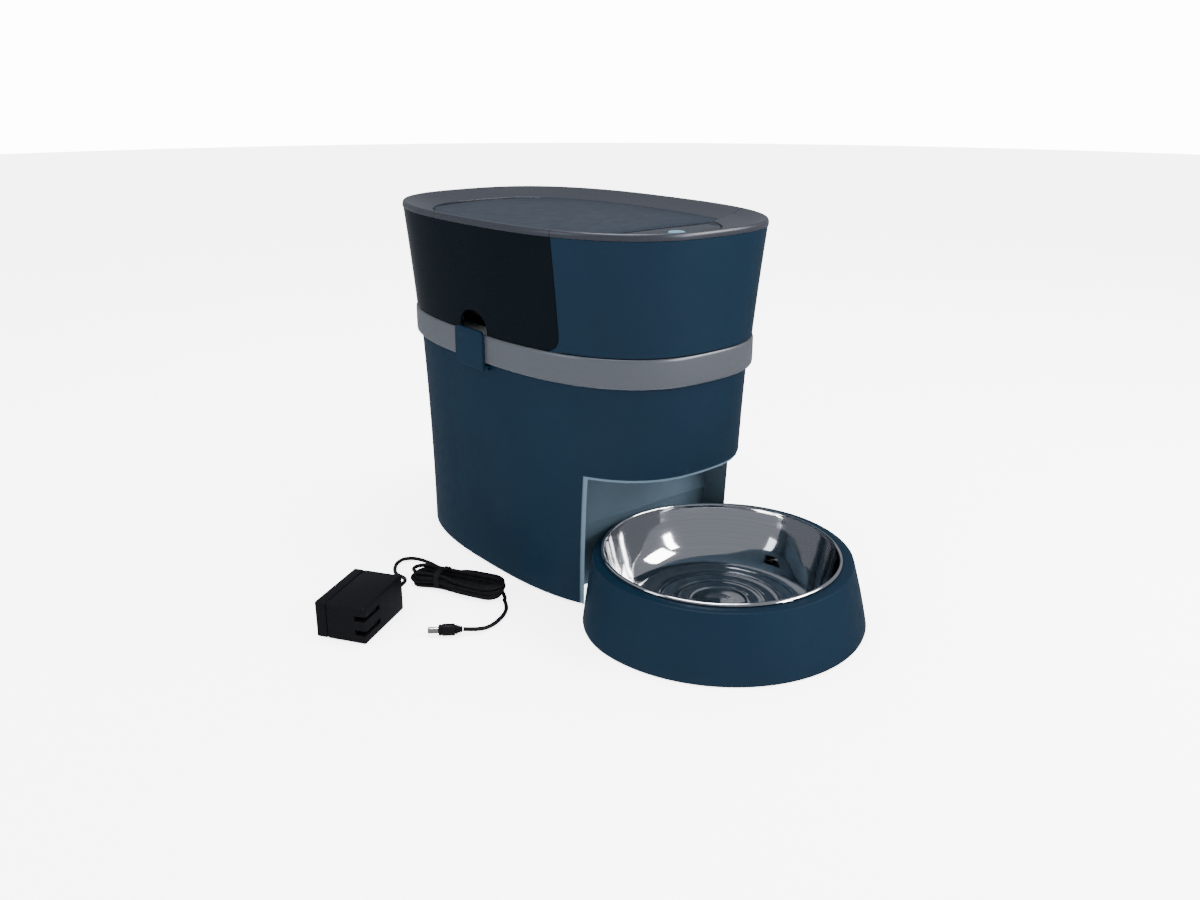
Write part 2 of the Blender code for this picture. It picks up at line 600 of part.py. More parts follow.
def make_holder():
    rear = HOLDER_REAR_DEPTH
    top = HOLDER_HEIGHT
    foot, rim = HOLDER_FOOT_RADIUS, HOLDER_RIM_RADIUS
    rows = [holder_ring(foot - 0.0006, rear, 0.0), holder_ring(foot, rear, 0.0012),
            holder_ring((foot + rim) / 2 + 0.0006, rear, top / 2), holder_ring(rim, rear, top - 0.0012),
            holder_ring(rim - 0.0012, rear - 0.0008, top),
            holder_ring(WELL_RADIUS + 0.0006, WELL_RADIUS + 0.0006, top),
            holder_ring(WELL_RADIUS, WELL_RADIUS, top - 0.0006),
            holder_ring(WELL_RADIUS, WELL_RADIUS, 0.0040),
            holder_ring(WELL_RADIUS + 0.0018, WELL_RADIUS + 0.0018, 0.0040),
            holder_ring(WELL_RADIUS + 0.0018, WELL_RADIUS + 0.0018, top - 0.0026),
            holder_ring(rim - 0.0030, rear - 0.0026, top - 0.0026),
            holder_ring(foot - 0.0030, rear - 0.0026, 0.0)]
    loft("bowl_holder", rows, "navy_abs")


def make_bowl():
    lip_z = HOLDER_HEIGHT + GAP
    inside = [(BOWL_OPENING_RADIUS, 0.0), (0.0960, -0.008), (0.0900, -0.026), (0.0820, -0.040),
              (0.0700, -BOWL_DEPTH)]
    sheet = BOWL_SHEET
    outer = [(0.0700, -BOWL_DEPTH - sheet), (0.0828, -0.0410), (0.0912, -0.0264), (0.0973, -0.0082),
             (BOWL_OPENING_RADIUS + sheet, 0.0)]
    profile = [(BOWL_FLANGE_RADIUS, 0.0016), (BOWL_FLANGE_RADIUS, 0.0)] + outer[::-1]
    profile += [(0, -BOWL_DEPTH - sheet), (0, -BOWL_DEPTH)] + inside[::-1]
    profile.append((BOWL_OPENING_RADIUS + 0.0008, 0.0022))
    turned("steel_bowl", profile, (0, BOWL_Y, lip_z), "Z", "stainless", 40)


SLOT_Y = (BODY_Y - 0.1390, BODY_Y - 0.1130)
SLOT_HALF_X = 0.0290


def make_liner():
    """Moulded chute bay: side walls, ceiling with the drop slot, and the sloping back panel."""
    rear = BOWL_Y + HOLDER_REAR_DEPTH + 0.0022
    panel_lip = rear - 0.0030
    panel_top = rear + 0.0150
    front = FRONT_CLEAR_Y
    ceiling = BAY_TOP
    slope = (panel_top - panel_lip) / (ceiling - PANEL_LOW_Z)
    back = rear + LINER_WALL
    bend_z = ceiling + LINER_WALL - (panel_top + LINER_WALL - back) / slope
    outer = [(front, HOUSING_LOW), (back, HOUSING_LOW), (back, bend_z),
             (panel_top + LINER_WALL, ceiling + LINER_WALL), (front, ceiling + LINER_WALL)]
    inner = [(front - 0.01, -0.01), (rear, -0.01), (rear, PANEL_LOW_Z - 0.0020),
             (panel_lip, PANEL_LOW_Z - 0.0020),
             (panel_lip, PANEL_LOW_Z), (panel_top, ceiling), (front - 0.01, ceiling)]
    liner = outline_solid("chute_liner", [outer], 2 * BAY_OUTER_HALF, (0, 0, 0), "YZ", "navy_abs")
    hollow = outline_solid("bay_hollow", [inner], 2 * BAY_HALF_WIDTH, (0, 0, 0), "YZ", None)
    boolean(liner, hollow, "DIFFERENCE")
    slot = box("drop_slot", (-SLOT_HALF_X, SLOT_Y[0], BAY_TOP - 0.01),
               (SLOT_HALF_X, SLOT_Y[1], BAY_TOP + 0.01), None)
    boolean(liner, slot, "DIFFERENCE")
    envelope_heights = [BAND_LOW * share for share in (0.0, 0.25, 0.50, 0.70)]
    envelope_rings = [oval_ring(base_inset(z) + 0.0004, z) for z in envelope_heights]
    envelope = loft("bay_envelope", envelope_rings, None, closed=False)
    boolean(liner, envelope, "INTERSECT")


# ---------------------------------------------------------------- conveyor
ROLLER_RADIUS = 0.0110
ROLLER_FRONT_Y = BODY_Y - 0.0980
ROLLER_SPAN = 0.1040
BELT_HALF_X = 0.0280
BELT_THICKNESS = 0.0016
FLIGHT_HEIGHT = 0.0040
FRAME_INNER_HALF = 0.0310
FRAME_WALL = 0.0022
SHAFT_RADIUS = 0.0030
GEAR_MODULE = 0.0012
ROLLER_TEETH = 24
PINION_TEETH = 12
GEAR_WIDTH = 0.0060
GEARBOX_WIDTH = 0.0160
MOTOR_SHAFT_RADIUS = 0.0015
GEAR_X = FRAME_INNER_HALF + FRAME_WALL + CLEAR + GEAR_WIDTH / 2
PINION_DROP = 0.75              # radians below the horizontal from the drive gear to its pinion


def belt_outline(offset, flights):
    """Racetrack round both rollers in the YZ plane, with raised flights when asked for."""
    radius = ROLLER_RADIUS + GAP + offset
    points = []
    arc = 12
    for centre, start in ((ROLLER_SPAN, -math.pi / 2), (0.0, math.pi / 2)):
        points += [(centre + radius * math.cos(start + math.pi * i / arc),
                    radius * math.sin(start + math.pi * i / arc))
                   for i in range(arc + 1)]
    if not flights:
        return points
    half = 0.0009
    top, bottom = [], []
    for k in range(5):
        y = ROLLER_SPAN * (0.1 + 0.2 * k)
        top += [(y + half, radius), (y + half, radius + FLIGHT_HEIGHT), (y - half, radius + FLIGHT_HEIGHT),
                (y - half, radius)]
        bottom += [(y - half, -radius), (y - half, -radius - FLIGHT_HEIGHT),
                   (y + half, -radius - FLIGHT_HEIGHT),
                   (y + half, -radius)]
    right, left = points[:arc + 1], points[arc + 1:]
    top = [point for k in reversed(range(5)) for point in top[4 * k:4 * k + 4]]
    return right + top + left + bottom


def make_conveyor():
    centre = (0, ROLLER_FRONT_Y, ROLLER_Z)
    outline_solid("conveyor_belt", [belt_outline(BELT_THICKNESS, True), belt_outline(0.0, False)],
                  2 * BELT_HALF_X, centre, "YZ", "belt_rubber")
    outer_half = FRAME_INNER_HALF + FRAME_WALL
    low = ROLLER_Z - ROLLER_RADIUS - BELT_THICKNESS - FLIGHT_HEIGHT - 0.0045
    high = ROLLER_Z + 0.0220
    section = [(-outer_half, low), (outer_half, low), (outer_half, high), (FRAME_INNER_HALF, high),
               (FRAME_INNER_HALF, low + FRAME_WALL), (-FRAME_INNER_HALF, low + FRAME_WALL),
               (-FRAME_INNER_HALF, high), (-outer_half, high)]
    length = ROLLER_SPAN + 0.034
    middle = ROLLER_FRONT_Y + ROLLER_SPAN / 2 + 0.003
    frame = outline_solid("conveyor_frame", [section], length, (0, middle, 0), "XZ", "white_acetal")
    for end, y in (("front", ROLLER_FRONT_Y), ("rear", ROLLER_FRONT_Y + ROLLER_SPAN)):
        bearing = rod(f"bearing_{end}", (0, y, ROLLER_Z), SHAFT_RADIUS + GAP / 3, 0.1, "X", None, 20)
        boolean(frame, bearing, "DIFFERENCE")
    spout = box("spout_opening", (-FRAME_INNER_HALF, middle - length / 2 - 0.01, low - 0.01),
                (FRAME_INNER_HALF, ROLLER_FRONT_Y - 0.004, low + FRAME_WALL + 0.001), None)
    boolean(frame, spout, "DIFFERENCE")
    journal = outer_half + 0.0005
    gear_end = GEAR_X + GEAR_WIDTH / 2
    drum = BELT_HALF_X + 0.0010
    for name, y, end in (("drive_roller", ROLLER_FRONT_Y + ROLLER_SPAN, gear_end),
                         ("idler_roller", ROLLER_FRONT_Y, journal)):
        profile = [(0, end), (SHAFT_RADIUS, end), (SHAFT_RADIUS, drum), (ROLLER_RADIUS, drum),
                   (ROLLER_RADIUS, -drum), (SHAFT_RADIUS, -drum), (SHAFT_RADIUS, -journal), (0, -journal)]
        turned(name, profile, (0, y, ROLLER_Z), "X", "white_acetal", 24)


def gear_outline(teeth, turn):
    """Involute spur gear, 20 degree pressure angle, a little backlash, one tooth centred on angle turn."""
    pitch = GEAR_MODULE * teeth / 2
    base = pitch * math.cos(math.radians(20))
    tip, root = pitch + GEAR_MODULE * 0.92, pitch - GEAR_MODULE * 1.25
    backlash = 0.00022

    def half_angle(radius):
        pressure = math.acos(min(base / radius, 1.0))
        swept = math.tan(pressure) - pressure
        nominal = math.tan(math.radians(20)) - math.radians(20)
        return math.pi / (2 * teeth) + nominal - swept - backlash / (2 * pitch)

    radii = (root, pitch, tip)
    points = []
    for k in range(teeth):
        middle = turn + 2 * math.pi * k / teeth
        points += [(r * math.cos(middle - half_angle(r)),
                    r * math.sin(middle - half_angle(r))) for r in radii]
        points += [(r * math.cos(middle + half_angle(r)),
                    r * math.sin(middle + half_angle(r))) for r in reversed(radii)]
    return points


def bore_outline(radius, sides=16):
    return [(radius * math.cos(2 * math.pi * i / sides),
             radius * math.sin(2 * math.pi * i / sides)) for i in range(sides)]


def make_drive():
    gear_y = ROLLER_FRONT_Y + ROLLER_SPAN
    toward = -PINION_DROP
    distance = GEAR_MODULE * (ROLLER_TEETH + PINION_TEETH) / 2
    pinion_y = gear_y + distance * math.cos(toward)
    pinion_z = ROLLER_Z + distance * math.sin(toward)
    gear = [gear_outline(ROLLER_TEETH, toward), bore_outline(SHAFT_RADIUS + GAP)]
    outline_solid("drive_gear", gear, GEAR_WIDTH, (GEAR_X, gear_y, ROLLER_Z), "YZ", "white_acetal")
    half_tooth = math.pi / PINION_TEETH
    pinion = [gear_outline(PINION_TEETH, toward + math.pi + half_tooth),
              bore_outline(MOTOR_SHAFT_RADIUS + GAP / 3, 12)]
    outline_solid("motor_pinion", pinion, GEAR_WIDTH, (GEAR_X, pinion_y, pinion_z), "YZ", "nickel")
    inner = GEAR_X + GEAR_WIDTH / 2 + CLEAR
    shaft_low = GEAR_X - GEAR_WIDTH / 2
    box("gearbox", (inner, pinion_y - 0.015, pinion_z - 0.018),
        (inner + GEARBOX_WIDTH, pinion_y + 0.015, pinion_z + 0.014), "grey_abs", 0.0015)
    motor_low = inner + GEARBOX_WIDTH + GAP
    turned("gear_motor", [(0, 0.022), (0.0115, 0.022), (0.0120, 0.0215), (0.0120, 0.0), (0, 0.0)],
           (motor_low, pinion_y, pinion_z), "X", "zinc_steel", 24)
    shaft_middle = (shaft_low + inner - GAP) / 2
    rod("motor_shaft", (shaft_middle, pinion_y, pinion_z), MOTOR_SHAFT_RADIUS, inner - shaft_low - GAP, "X",
        "zinc_steel", 12)


# ---------------------------------------------------------------- electronics, batteries, floor
CELL_RADIUS = 0.0168
CELL_LENGTH = 0.0600
CELL_PITCH = 0.0348
CELL_Y = BODY_Y + 0.0830
CELL_Z = 0.0262
BOX_WALL = 0.0018
DOOR_HALF_X = 2 * CELL_PITCH + 0.0030
DOOR_HALF_Y = 0.0352
FOOT_RADIUS = 0.0070
FRONT_FOOT_RADIUS = 0.0045      # the front pair fits beside the bay


def make_floor():
    inset = base_inset(0) + WALL + 0.0003 + 0.0006
    floor = loft("base_floor", [oval_ring(inset, FLOOR_LOW), oval_ring(inset, FLOOR_LOW + FLOOR_THICKNESS)],
                 "grey_abs", closed=False)
    rear = BOWL_Y + HOLDER_REAR_DEPTH + 0.0022 + LINER_WALL + GAP
    bay = box("floor_bay", (-CUTOUT_HALF, FRONT_CLEAR_Y, -0.01), (CUTOUT_HALF, rear, 0.03), None)
    hatch = box("floor_hatch", (-DOOR_HALF_X + 0.0025, CELL_Y - DOOR_HALF_Y + 0.0025, -0.01),
                (DOOR_HALF_X - 0.0025, CELL_Y + DOOR_HALF_Y - 0.0025, 0.03), None)
    boolean(floor, bay, "DIFFERENCE")
    boolean(floor, hatch, "DIFFERENCE")
    door = box("battery_door", (-DOOR_HALF_X, CELL_Y - DOOR_HALF_Y, FLOOR_LOW - 0.0024),
               (DOOR_HALF_X, CELL_Y + DOOR_HALF_Y, FLOOR_LOW - GAP), "navy_abs", 0.0005)
    on_pivot("battery_door_pivot", (0, CELL_Y - DOOR_HALF_Y, FLOOR_LOW - GAP), (door,))
    feet = {"foot_front_left": (-0.0905, -0.045), "foot_front_right": (0.0905, -0.045),
            "foot_rear_left": (-0.055, 0.135), "foot_rear_right": (0.055, 0.135)}
    for name, (x, y) in feet.items():
        radius = FOOT_RADIUS if y > 0 else FRONT_FOOT_RADIUS
        rod(name, (x, BODY_Y + y, (FLOOR_LOW - GAP) / 2), radius, FLOOR_LOW - GAP, "Z", "rubber", 20, 0.0004)


def make_power():
    top = CELL_Z + CELL_RADIUS + 0.0010
    low = FLOOR_LOW + FLOOR_THICKNESS + GAP
    half_x = 2 * CELL_PITCH + 0.0006
    half_y = CELL_LENGTH / 2 + 0.0030
    tray = box("battery_box", (-half_x - BOX_WALL, CELL_Y - half_y - BOX_WALL, low),
               (half_x + BOX_WALL, CELL_Y + half_y + BOX_WALL, top + BOX_WALL), "black_abs")
    inside = box("battery_space", (-half_x, CELL_Y - half_y, -0.01), (half_x, CELL_Y + half_y, top), None)
    boolean(tray, inside, "DIFFERENCE")
    for index in range(4):
        x = (index - 1.5) * CELL_PITCH
        nub = -1 if index % 2 else 1
        end, shoulder = CELL_LENGTH / 2, CELL_LENGTH / 2 - 0.0018
        profile = [(0, end), (0.0045, end), (0.0045, shoulder), (CELL_RADIUS, shoulder), (CELL_RADIUS, -end),
                   (0, -end)]
        cell = turned(f"battery_{index + 1}", profile, (x, CELL_Y, CELL_Z), "Z", "cell_wrap", 24)
        cell.rotation_euler = (-nub * math.pi / 2, 0, 0)
    for name, side in (("contact_plate_front", -1), ("contact_plate_rear", 1)):
        near = CELL_Y + side * (CELL_LENGTH / 2 + 0.0010)
        far = near + side * 0.0008
        y_low, y_high = sorted((near, far))
        box(name, (-half_x + 0.004, y_low, CELL_Z - 0.009), (half_x - 0.004, y_high, CELL_Z + 0.009),
            "nickel")
    wall_y = BODY_Y + BAND_HALF_LENGTH - base_inset(JACK_Z)
    jack_y = wall_y - 0.0125
    jack = rod("dc_jack", (JACK_X, jack_y, JACK_Z), JACK_RADIUS, 0.0140, "Y", "black_abs", 24)
    socket = turned("jack_socket", [(0.0028, 0.012), (0.0028, -0.0050), (0.0010, -0.0050), (0.0010, 0.012)],
                    (JACK_X, jack_y, JACK_Z), "Z", None, 20)
    socket.rotation_euler = (-math.pi / 2, 0, 0)
    boolean(jack, socket, "DIFFERENCE")
    board_y = CELL_Y + half_y + BOX_WALL + 0.006
    box("main_board", (-0.040, board_y, low + 0.022), (0.030, board_y + 0.0016, low + 0.080), "green_board")


# ---------------------------------------------------------------- wall adapter and cord
ADAPTER_CENTRE = (-0.2482, BODY_Y - 0.0211)
ADAPTER_YAW = math.radians(32.45)
ADAPTER_LENGTH = 0.0654
ADAPTER_WIDTH = 0.0454
ADAPTER_HEIGHT = 0.0320
COVER_DEPTH = 0.0100
BLADE_SPACING = 0.0127
SLOT_HALF = 0.0022              # half the width of the slot a folded blade lies in
SLOT_DEPTH = 0.0046             # slot behind the hinge's axis
BLADE_LENGTH = 0.0170
BLADE_WIDTH = 0.0063
BLADE_THICKNESS = 0.0015
HINGE_ALONG = 0.0200            # blade hinge from the adapter's near corner, along its front face
HINGE_DEPTH = 0.0046
CARRIER_RADIUS = 0.0036
CARRIER_LENGTH = BLADE_SPACING + 0.0070
CARRIER_CLEAR = 0.0005
CARRIER_GRIP = 0.0022           # how far a blade runs past the hinge's axis
RELIEF_RADIUS = 0.0034
RELIEF_LENGTH = 0.0078
EXIT_FROM_FACE = 0.0075         # cord's exit from the adapter's front face

CORD_RADIUS = 0.0018
HANK_CENTRE = (-0.1520, BODY_Y - 0.0210)
HANK_ANGLE = math.radians(-62.5)
HANK_LENGTH = 0.0940
HANK_WIDTH = 0.0300
HANK_HEIGHT = 0.0140
HANK_Z = 0.0014                 # underside, on the tie's strap
TIE_ALONG = -0.0150             # tie's place along the hank from its middle
TIE_WIDTH = 0.0052
TIE_THICKNESS = 0.0009
PLUG_TIP = (-0.2173, BODY_Y - 0.0773)
PLUG_ANGLE = math.radians(145.0)
PLUG_RADIUS = 0.0052
PLUG_LENGTH = 0.0195
BARREL_RADIUS = 0.00275
BARREL_LENGTH = 0.0085
CORD_Z = CORD_RADIUS + 0.0002
PLUG_Z = PLUG_RADIUS + 0.0002

LEAD_ROUTE = [(-0.2053, -0.0119, 0.0160), (-0.2006, -0.0088, 0.0159), (-0.1955, -0.0040, 0.0150),
              (-0.1912, 0.0045, 0.0130), (-0.1888, 0.0155, 0.0100), (-0.1865, 0.0265, 0.0070),
              (-0.1825, 0.0370, 0.0042), (-0.1765, 0.0480, 0.0026), (-0.1690, 0.0565, CORD_Z),
              (-0.1600, 0.0598, CORD_Z), (-0.1515, 0.0545, CORD_Z), (-0.1468, 0.0435, CORD_Z),
              (-0.1448, 0.0310, CORD_Z), (-0.1445, 0.0190, CORD_Z), (-0.1468, 0.0062, CORD_Z + 0.0010)]
TAIL_ROUTE = [(-0.1352, -0.0682, 0.0040), (-0.1370, -0.0735, 0.0028), (-0.1402, -0.0795, CORD_Z),
              (-0.1450, -0.0853, CORD_Z), (-0.1515, -0.0905, CORD_Z), (-0.1590, -0.0948, CORD_Z),
              (-0.1672, -0.0980, CORD_Z), (-0.1755, -0.0995, CORD_Z + 0.0006), (-0.1830, -0.0988, 0.0038),
              (-0.1890, -0.0968, 0.0049), (-0.1936, -0.0939, PLUG_Z)]


def adapter_frame():
    """Adapter's own axes: X along its long side, Y to the back, origin on the floor under its centre."""
    return Matrix.Translation((*ADAPTER_CENTRE, 0.0)) @ Matrix.Rotation(ADAPTER_YAW, 4, "Z")


def onto_adapter(obj):
    own = Matrix.Translation(obj.location) @ obj.rotation_euler.to_matrix().to_4x4()
    obj.matrix_world = adapter_frame() @ own
    return obj


def make_adapter():
    half_x, half_y, high = ADAPTER_LENGTH / 2, ADAPTER_WIDTH / 2, ADAPTER_HEIGHT
    split = half_y - COVER_DEPTH
    body = box("adapter_body", (-half_x, -half_y, 0), (half_x, split - GAP / 2, high), "black_abs")
    cover = box("adapter_cover", (-half_x, split + GAP / 2, 0), (half_x, half_y, high), "black_abs", 0.0012)
    hollow = box("adapter_hollow", (-half_x + 0.002, -half_y + 0.0110, 0.002),
                 (half_x - 0.002, split + 0.01, high - 0.002), None)
    hinge = (-half_x + HINGE_ALONG, -half_y + HINGE_DEPTH, high / 2)
    tools = [hollow]
    for side in (-1, 1):
        middle = high / 2 + side * BLADE_SPACING / 2
        tools.append(box(f"blade_slot_{side}", (-half_x - WALL, -half_y - WALL, middle - SLOT_HALF),
                         (hinge[0] + CARRIER_RADIUS + 0.0016, hinge[1] + SLOT_DEPTH,
                          middle + SLOT_HALF), None))
    seat_length = CARRIER_LENGTH + 2 * CARRIER_CLEAR
    tools.append(rod("carrier_seat", hinge, CARRIER_RADIUS + CARRIER_CLEAR, seat_length, "Z", None, 20))
    for tool in tools:
        onto_adapter(tool)
    bevelled(body, 0.0012)
    onto_adapter(body)
    onto_adapter(cover)
    for tool in tools:
        boolean(body, tool, "DIFFERENCE")
    carrier = onto_adapter(rod("prong_carrier", hinge, CARRIER_RADIUS, CARRIER_LENGTH, "Z", "black_abs", 20))
    near_x, far_x = hinge[0] + CARRIER_GRIP - BLADE_LENGTH, hinge[0] + CARRIER_GRIP
    near_y, far_y = hinge[1] - BLADE_WIDTH / 2, hinge[1] + BLADE_WIDTH / 2
    blades = []
    for name, offset in (("prong_lower", -BLADE_SPACING / 2), ("prong_upper", BLADE_SPACING / 2)):
        low_z, high_z = high / 2 + offset - BLADE_THICKNESS / 2, high / 2 + offset + BLADE_THICKNESS / 2
        slot = box(name + "_slot", (near_x, near_y - GAP, low_z - GAP),
                   (far_x + GAP, far_y + GAP, high_z + GAP), None)
        boolean(carrier, onto_adapter(slot), "DIFFERENCE")
        blades.append(onto_adapter(box(name, (near_x, near_y, low_z), (far_x, far_y, high_z), "nickel")))
    on_pivot("prong_pivot", adapter_frame() @ Vector(hinge), blades)
    profile = [(0, 0.0), (RELIEF_RADIUS, 0.0), (0.0030, -0.0030), (0.0030, -0.0045), (0.0024, -0.0060),
               (0.0024, -RELIEF_LENGTH), (0, -RELIEF_LENGTH)]
    relief = turned("strain_relief", profile, (half_x + GAP, -half_y + EXIT_FROM_FACE, high / 2), "X",
                    "black_abs", 16)
    relief.rotation_euler = (0, -math.pi / 2, 0)
    onto_adapter(relief)


def smooth_route(route, count):
    """Evenly spread points on a smooth curve through the route, with the body's centre added to y."""
    points = [Vector((x, BODY_Y + y, z)) for x, y, z in route]
    padded = [2 * points[0] - points[1]] + points + [2 * points[-1] - points[-2]]
    dense = []
    for a, b, c, d in zip(padded, padded[1:], padded[2:], padded[3:]):
        for k in range(8):
            t = k / 8
            bend = (2 * a - 5 * b + 4 * c - d) * t ** 2 + (3 * b - a - 3 * c + d) * t ** 3
            dense.append(b + 0.5 * ((c - a) * t + bend))
    dense.append(points[-1])
    lengths = [0.0]
    for a, b in zip(dense, dense[1:]):
        lengths.append(lengths[-1] + (b - a).length)
    result = []
    for k in range(count):
        target = lengths[-1] * k / (count - 1)
        i = max(j for j in range(len(dense) - 1) if lengths[j] <= target + 1e-9)
        share = (target - lengths[i]) / max(lengths[i + 1] - lengths[i], 1e-9)
        result.append(dense[i].lerp(dense[i + 1], min(share, 1.0)))
    return result


def make_tube(name, route, count):
    curve = bpy.data.curves.new(name, "CURVE")
    curve.dimensions = "3D"
    curve.bevel_depth = CORD_RADIUS
    curve.bevel_resolution = 2
    curve.use_fill_caps = True
    points = smooth_route(route, count)
    spline = curve.splines.new("POLY")
    spline.points.add(len(points) - 1)
    for knot, point in zip(spline.points, points):
        knot.co = (*point, 1)
    place(bpy.data.objects.new(name, curve), "cord_pvc")


def stadium(length, width, steps=8):
    radius = width / 2
    reach = length / 2 - radius
    turns = [-math.pi / 2 + math.pi * i / steps for i in range(steps + 1)]
    right = [(reach + radius * math.cos(a), radius * math.sin(a)) for a in turns]
    left = [(-x, -y) for x, y in right]
    return right + left


SQUARE = ((-1, -1), (1, -1), (1, 1), (-1, 1))


def make_cord():
    make_tube("cord_lead", LEAD_ROUTE, 22)
    make_tube("cord_tail", TAIL_ROUTE, 20)
    hank = outline_solid("cord_hank", [stadium(HANK_LENGTH, HANK_WIDTH)], HANK_HEIGHT,
                         (*HANK_CENTRE, HANK_Z + HANK_HEIGHT / 2), "XY", "cord_pvc")
    hank.rotation_euler = (0, 0, HANK_ANGLE)
    inner = [(x * (HANK_WIDTH / 2 + GAP), y * (HANK_HEIGHT / 2 + GAP)) for x, y in SQUARE]
    outer = [(x * (HANK_WIDTH / 2 + GAP + TIE_THICKNESS), y * (HANK_HEIGHT / 2 + GAP + TIE_THICKNESS))
             for x, y in SQUARE]
    tie_x = HANK_CENTRE[0] + TIE_ALONG * math.cos(HANK_ANGLE)
    tie_y = HANK_CENTRE[1] + TIE_ALONG * math.sin(HANK_ANGLE)
    tie = outline_solid("cord_tie", [outer, inner], TIE_WIDTH, (tie_x, tie_y, HANK_Z + HANK_HEIGHT / 2),
                        "XZ",
                        "black_abs")
    tie.rotation_euler = (math.pi / 2, 0, HANK_ANGLE + math.pi / 2)
    tip = Vector((*PLUG_TIP, PLUG_Z))
    along = Vector((math.cos(PLUG_ANGLE), math.sin(PLUG_ANGLE), 0))
    turn = (0, math.pi / 2, PLUG_ANGLE)
    barrel = rod("connector_barrel", (0, 0, 0), BARREL_RADIUS, BARREL_LENGTH, "Z", "nickel", 16)
    barrel.location = tip - along * BARREL_LENGTH / 2
    barrel.rotation_euler = turn
    half = PLUG_LENGTH / 2
    profile = [(0, half), (PLUG_RADIUS - 0.0010, half), (PLUG_RADIUS, half - 0.0020),
               (PLUG_RADIUS, -half + 0.0060),
               (0.0030, -half), (0, -half)]
    body = turned("connector_body", profile, tip - along * (BARREL_LENGTH + GAP + half), "Z", "black_abs",
                  20)
    body.rotation_euler = turn


# ---------------------------------------------------------------- build
make_housing()
make_band()
make_deck()
make_hopper()
make_rim("hopper_rim", RIM_WIDTH, SHELF_Z, 1)
make_lid()
make_tower()
make_latch("latch_left", -1)
make_latch("latch_right", 1)
make_holder()
make_bowl()
make_liner()
make_conveyor()
make_drive()
make_floor()
make_power()
make_adapter()
make_cord()
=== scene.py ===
import math
import random

import bmesh
import bpy
from mathutils import Matrix, Vector


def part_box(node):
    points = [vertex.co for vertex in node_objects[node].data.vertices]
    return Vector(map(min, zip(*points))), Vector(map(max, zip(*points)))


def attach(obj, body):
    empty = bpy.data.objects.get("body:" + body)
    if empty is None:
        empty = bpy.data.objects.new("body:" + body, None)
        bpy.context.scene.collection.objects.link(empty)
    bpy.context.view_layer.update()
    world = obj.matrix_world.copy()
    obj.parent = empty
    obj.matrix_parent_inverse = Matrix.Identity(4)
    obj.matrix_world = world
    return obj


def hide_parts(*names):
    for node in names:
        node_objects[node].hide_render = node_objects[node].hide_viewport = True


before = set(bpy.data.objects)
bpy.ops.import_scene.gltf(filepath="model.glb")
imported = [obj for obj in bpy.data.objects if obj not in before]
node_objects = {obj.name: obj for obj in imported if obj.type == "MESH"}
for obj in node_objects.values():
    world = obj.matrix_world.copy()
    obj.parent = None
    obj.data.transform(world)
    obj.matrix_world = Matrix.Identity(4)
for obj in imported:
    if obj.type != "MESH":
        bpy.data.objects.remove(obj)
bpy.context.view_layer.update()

scene = bpy.context.scene

# ---- Camera and studio.
# A studio table: the camera stands off the feeder's front left corner, under soft boxes in a pale room.
# The white paper glows a little, and the pieces don't mirror it, as when black cards stand round them.
CAMERA_PLACE = Vector((-0.6109, -0.69825, 0.4422))
CAMERA_AIM = Vector((0.0, 0.04675, 0.1096))
camera_data = bpy.data.cameras.new("camera")
camera_data.sensor_width = 36.0
camera_data.lens = 32.183
camera_data.shift_x = 0.01
camera_data.shift_y = -0.01
camera = bpy.data.objects.new("camera", camera_data)
camera.location = CAMERA_PLACE
camera.rotation_euler = (CAMERA_AIM - CAMERA_PLACE).to_track_quat("-Z", "Y").to_euler()
scene.collection.objects.link(camera)
scene.camera = camera


def srgb(code):
    """Linear RGBA of an sRGB hex colour."""
    channels = [int(code[i:i + 2], 16) / 255 for i in (1, 3, 5)]
    return (*[c / 12.92 if c <= 0.04045 else ((c + 0.055) / 1.055) ** 2.4 for c in channels], 1.0)


def add(tree, kind, sockets=(), **settings):
    """Adds a shader node; a socket is given a value, or the output that feeds it."""
    made = tree.nodes.new("ShaderNode" + kind)
    for key, value in settings.items():
        setattr(made, key, value)
    for key, value in dict(sockets).items():
        if isinstance(value, bpy.types.NodeSocket):
            tree.links.new(value, made.inputs[key])
        else:
            made.inputs[key].default_value = value
    return made


def soft_box(name, place, aim, size, watts, colour):
    lamp = bpy.data.lights.new(name, "AREA")
    lamp.shape = "RECTANGLE"
    lamp.size, lamp.size_y = size
    lamp.energy = watts
    lamp.color = srgb(colour)[:3]
    box = bpy.data.objects.new(name, lamp)
    box.location = place
    box.rotation_euler = (Vector(aim) - Vector(place)).to_track_quat("-Z", "Y").to_euler()
    scene.collection.objects.link(box)


soft_box("key_box", (0.95, -1.10, 1.15), (0.0, -0.05, 0.15), (0.9, 0.7), 42.0, "#FFFBF6")
soft_box("top_box", (-0.05, 0.10, 1.45), (0.0, 0.0, 0.1), (1.0, 0.7), 30.0, "#F7FAFF")
soft_box("side_box", (-1.35, 0.35, 0.85), (0.0, 0.0, 0.15), (0.4, 0.8), 4.0, "#F2F6FF")
soft_box("bowl_strip", (0.35, -1.35, 0.70), (0.0, -0.13, 0.05), (0.22, 0.60), 10.0, "#FFFFFF")

